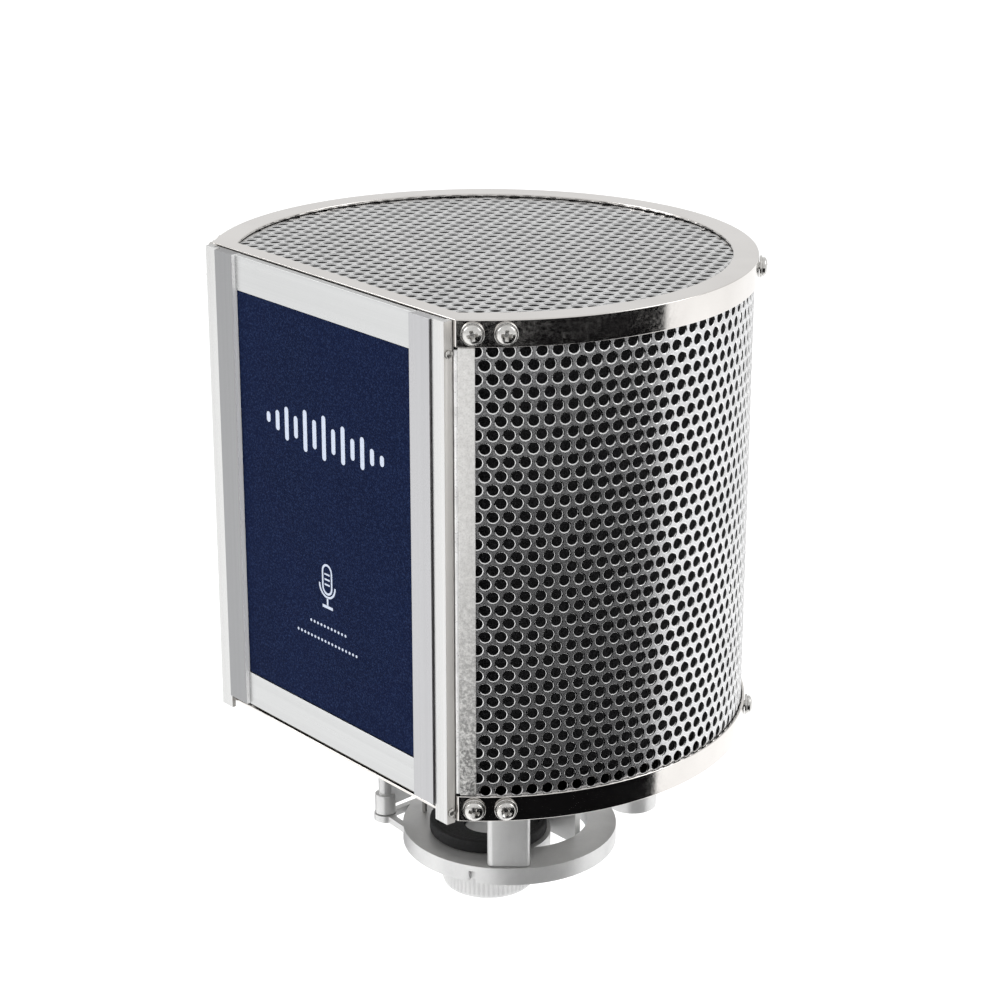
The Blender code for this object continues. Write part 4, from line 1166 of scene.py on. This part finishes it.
def nut_profile(low_z, high_z, outer):
    """The nut's section as (radius, height, share of the flutes' depth)."""
    collar_r = outer - NUT_COLLAR_DROP
    fluted_low, fluted_high = low_z + NUT_COLLAR, high_z - NUT_COLLAR
    return [
        (NUT_BORE, low_z, 0.0), (outer - 1.4 * MM, low_z, 0.0), (outer - 0.5 * MM, low_z + 0.7 * MM, 0.0),
        (collar_r, fluted_low, 0.0), (outer, fluted_low + NUT_CHAMFER, 1.0),
        (outer, fluted_high - NUT_CHAMFER, 1.0), (collar_r, fluted_high, 0.0),
        (collar_r, high_z - 0.4 * MM, 0.0), (outer - 0.8 * MM, high_z, 0.0), (NUT_BORE, high_z, 0.0),
    ]


def build_lock_nut():
    """The nut with its fine flutes, a plain collar above and below them."""
    low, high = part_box("lock_nut")
    centre = (low + high) / 2
    sides = NUT_FLUTES * STEPS_PER_FLUTE
    bm = bmesh.new()
    rings = []
    for radius, height, fluted in nut_profile(low.z, high.z, (high.x - low.x) / 2):
        ring = []
        for i in range(sides):
            angle = WHOLE_TURN * i / sides
            groove = 0.5 - 0.5 * math.cos(angle * NUT_FLUTES)
            r = radius - fluted * FLUTE_DEPTH * groove ** 2
            place = (centre.x + r * math.cos(angle), centre.y + r * math.sin(angle), height)
            ring.append(bm.verts.new(place))
        rings.append(ring)
    join_rows(bm, rings + rings[:1])
    mesh = mesh_of(bm, "fluted_nut")
    smooth_mesh(mesh, TURNED_SHARP_DEGREES)
    link("lock_nut_fluted", mesh, "plastic", "lock_nut")


# Nodes that keep their CAD shape with rounded edges: finish, edge radius, segments.
FRAME_PIECES = (
    ("edge_strip_right", "strip", 0.25 * MM, 2),
    ("edge_strip_left", "strip", 0.25 * MM, 2),
    ("screen_top_rail", "rail", 0.25 * MM, 2),
    ("screen_bottom_rail", "rail", 0.25 * MM, 2),
)
CRADLE_PIECES = (
    ("cradle_ring", "casting", 0.5 * MM, 3),
    ("cradle_front_post", "casting", 0.3 * MM, 2),
    ("cradle_back_bracket", "casting", 0.3 * MM, 2),
    ("cradle_side_post", "casting", 0.3 * MM, 2),
    ("rubber_seat_ring", "rubber", 0.9 * MM, 3),
    ("rubber_pad", "rubber", 0.5 * MM, 3),
    ("stand_post", "casting", 0.5 * MM, 3),
    ("stand_insert", "zinc", 0.2 * MM, 2),
    ("base_bar", "zinc", 0.3 * MM, 2),
    ("bottom_plate", "zinc", 0.2 * MM, 2),
)


def build_all():
    """Every piece, and plain zinc on the CAD nodes that show as they are."""
    build_aluminium()
    build_rolls()
    build_shell()
    build_grille()
    build_rim("top_rim", True)
    build_rim("bottom_rim", False)
    for row in FRAME_PIECES:
        dressed(*row)
    build_cloths()
    build_foam("foam_liner")
    build_foam("top_foam")
    build_rim_screws()
    build_small_screws()
    for row in CRADLE_PIECES:
        dressed(*row)
    build_lock_nut()
    for node in NODES.values():
        if not node.hide_render:
            node.data.materials.clear()
            give(node.data, "zinc")


# ---------------- stage

def add_area(name, place, size, power):
    """A soft square light on the object that the camera doesn't see."""
    lamp = bpy.data.lights.new(name, "AREA")
    lamp.size = size
    lamp.energy = power
    holder = add_object(name, lamp)
    holder.location = place
    holder.rotation_euler = (Vector(LIT_POINT) - Vector(place)).to_track_quat("-Z", "Y").to_euler()
    holder.visible_camera = False


def build_card(name, radii, degrees, heights, grey):
    """A card round the object, lying below and turned up at its edge, seen only in the metal."""
    bm = bmesh.new()
    first, last = (math.radians(angle) for angle in degrees)
    rows = []
    for radius, height in ((radii[0], heights[0]), (radii[1], heights[0]), (radii[1], heights[1])):
        arc = ring_points(radius, CARD_STEPS, (0.0, CASE_Y), first, last - first)
        rows.append(level_row(bm, arc, height))
    join_rows(bm, rows, closed=False)
    mesh = baked(bm, name)
    made = Finish(name, (grey, grey, grey), 1.0, Specular_IOR_Level=0.0)
    clouds = made.grain(4, 2)
    made.paint(clouds, (grey, grey, grey * 1.05), (grey * 1.4, grey * 1.4, grey * 1.5))
    mesh.materials.append(made.material)
    card = add_object(name, mesh)
    card.visible_camera = False
    card.visible_diffuse = False
    card.visible_shadow = False


def build_world():
    """Even white surroundings."""
    world = bpy.data.worlds.new("studio")
    bpy.context.scene.world = world
    world.use_nodes = True
    background = world.node_tree.nodes["Background"]
    background.inputs["Color"].default_value = WHITE
    background.inputs["Strength"].default_value = WORLD_STRENGTH


def build_floor():
    """A wide pale floor below the object."""
    bm = bmesh.new()
    bm.faces.new(level_row(bm, ring_points(FLOOR_R, 64), FLOOR_Z))
    mesh = baked(bm, "floor")
    mesh.materials.append(floor_paint())
    add_object("floor", mesh)


def build_stage():
    """White surroundings, a pale floor, two soft lights and two cards."""
    build_world()
    build_floor()
    add_area("key", (-1.6, -1.7, 1.7), 1.3, 22)
    add_area("fill", (1.3, 1.2, 1.5), 1.2, 10)
    build_card("dark_card", (0.27, 0.69), (-54, 34), (-0.31, 0.16), 0.004)
    build_card("rear_card", (0.60, 0.69), (122, 200), (-0.31, 0.22), 0.09)


def build_camera():
    """The camera, square to its own right and back."""
    lens = bpy.data.cameras.new("camera")
    lens.lens = CAMERA_LENS
    lens.clip_end = CAMERA_REACH
    back = Vector(CAMERA_BACK).normalized()
    up = back.cross(Vector(CAMERA_RIGHT)).normalized()
    turn = Matrix((up.cross(back), up, back)).transposed().to_4x4()
    camera = add_object("camera", lens)
    camera.matrix_world = Matrix.Translation(CAMERA_PLACE) @ turn
    bpy.context.scene.camera = camera


build_all()
build_stage()
build_camera()
bpy.context.scene.view_settings.view_transform = "Standard"
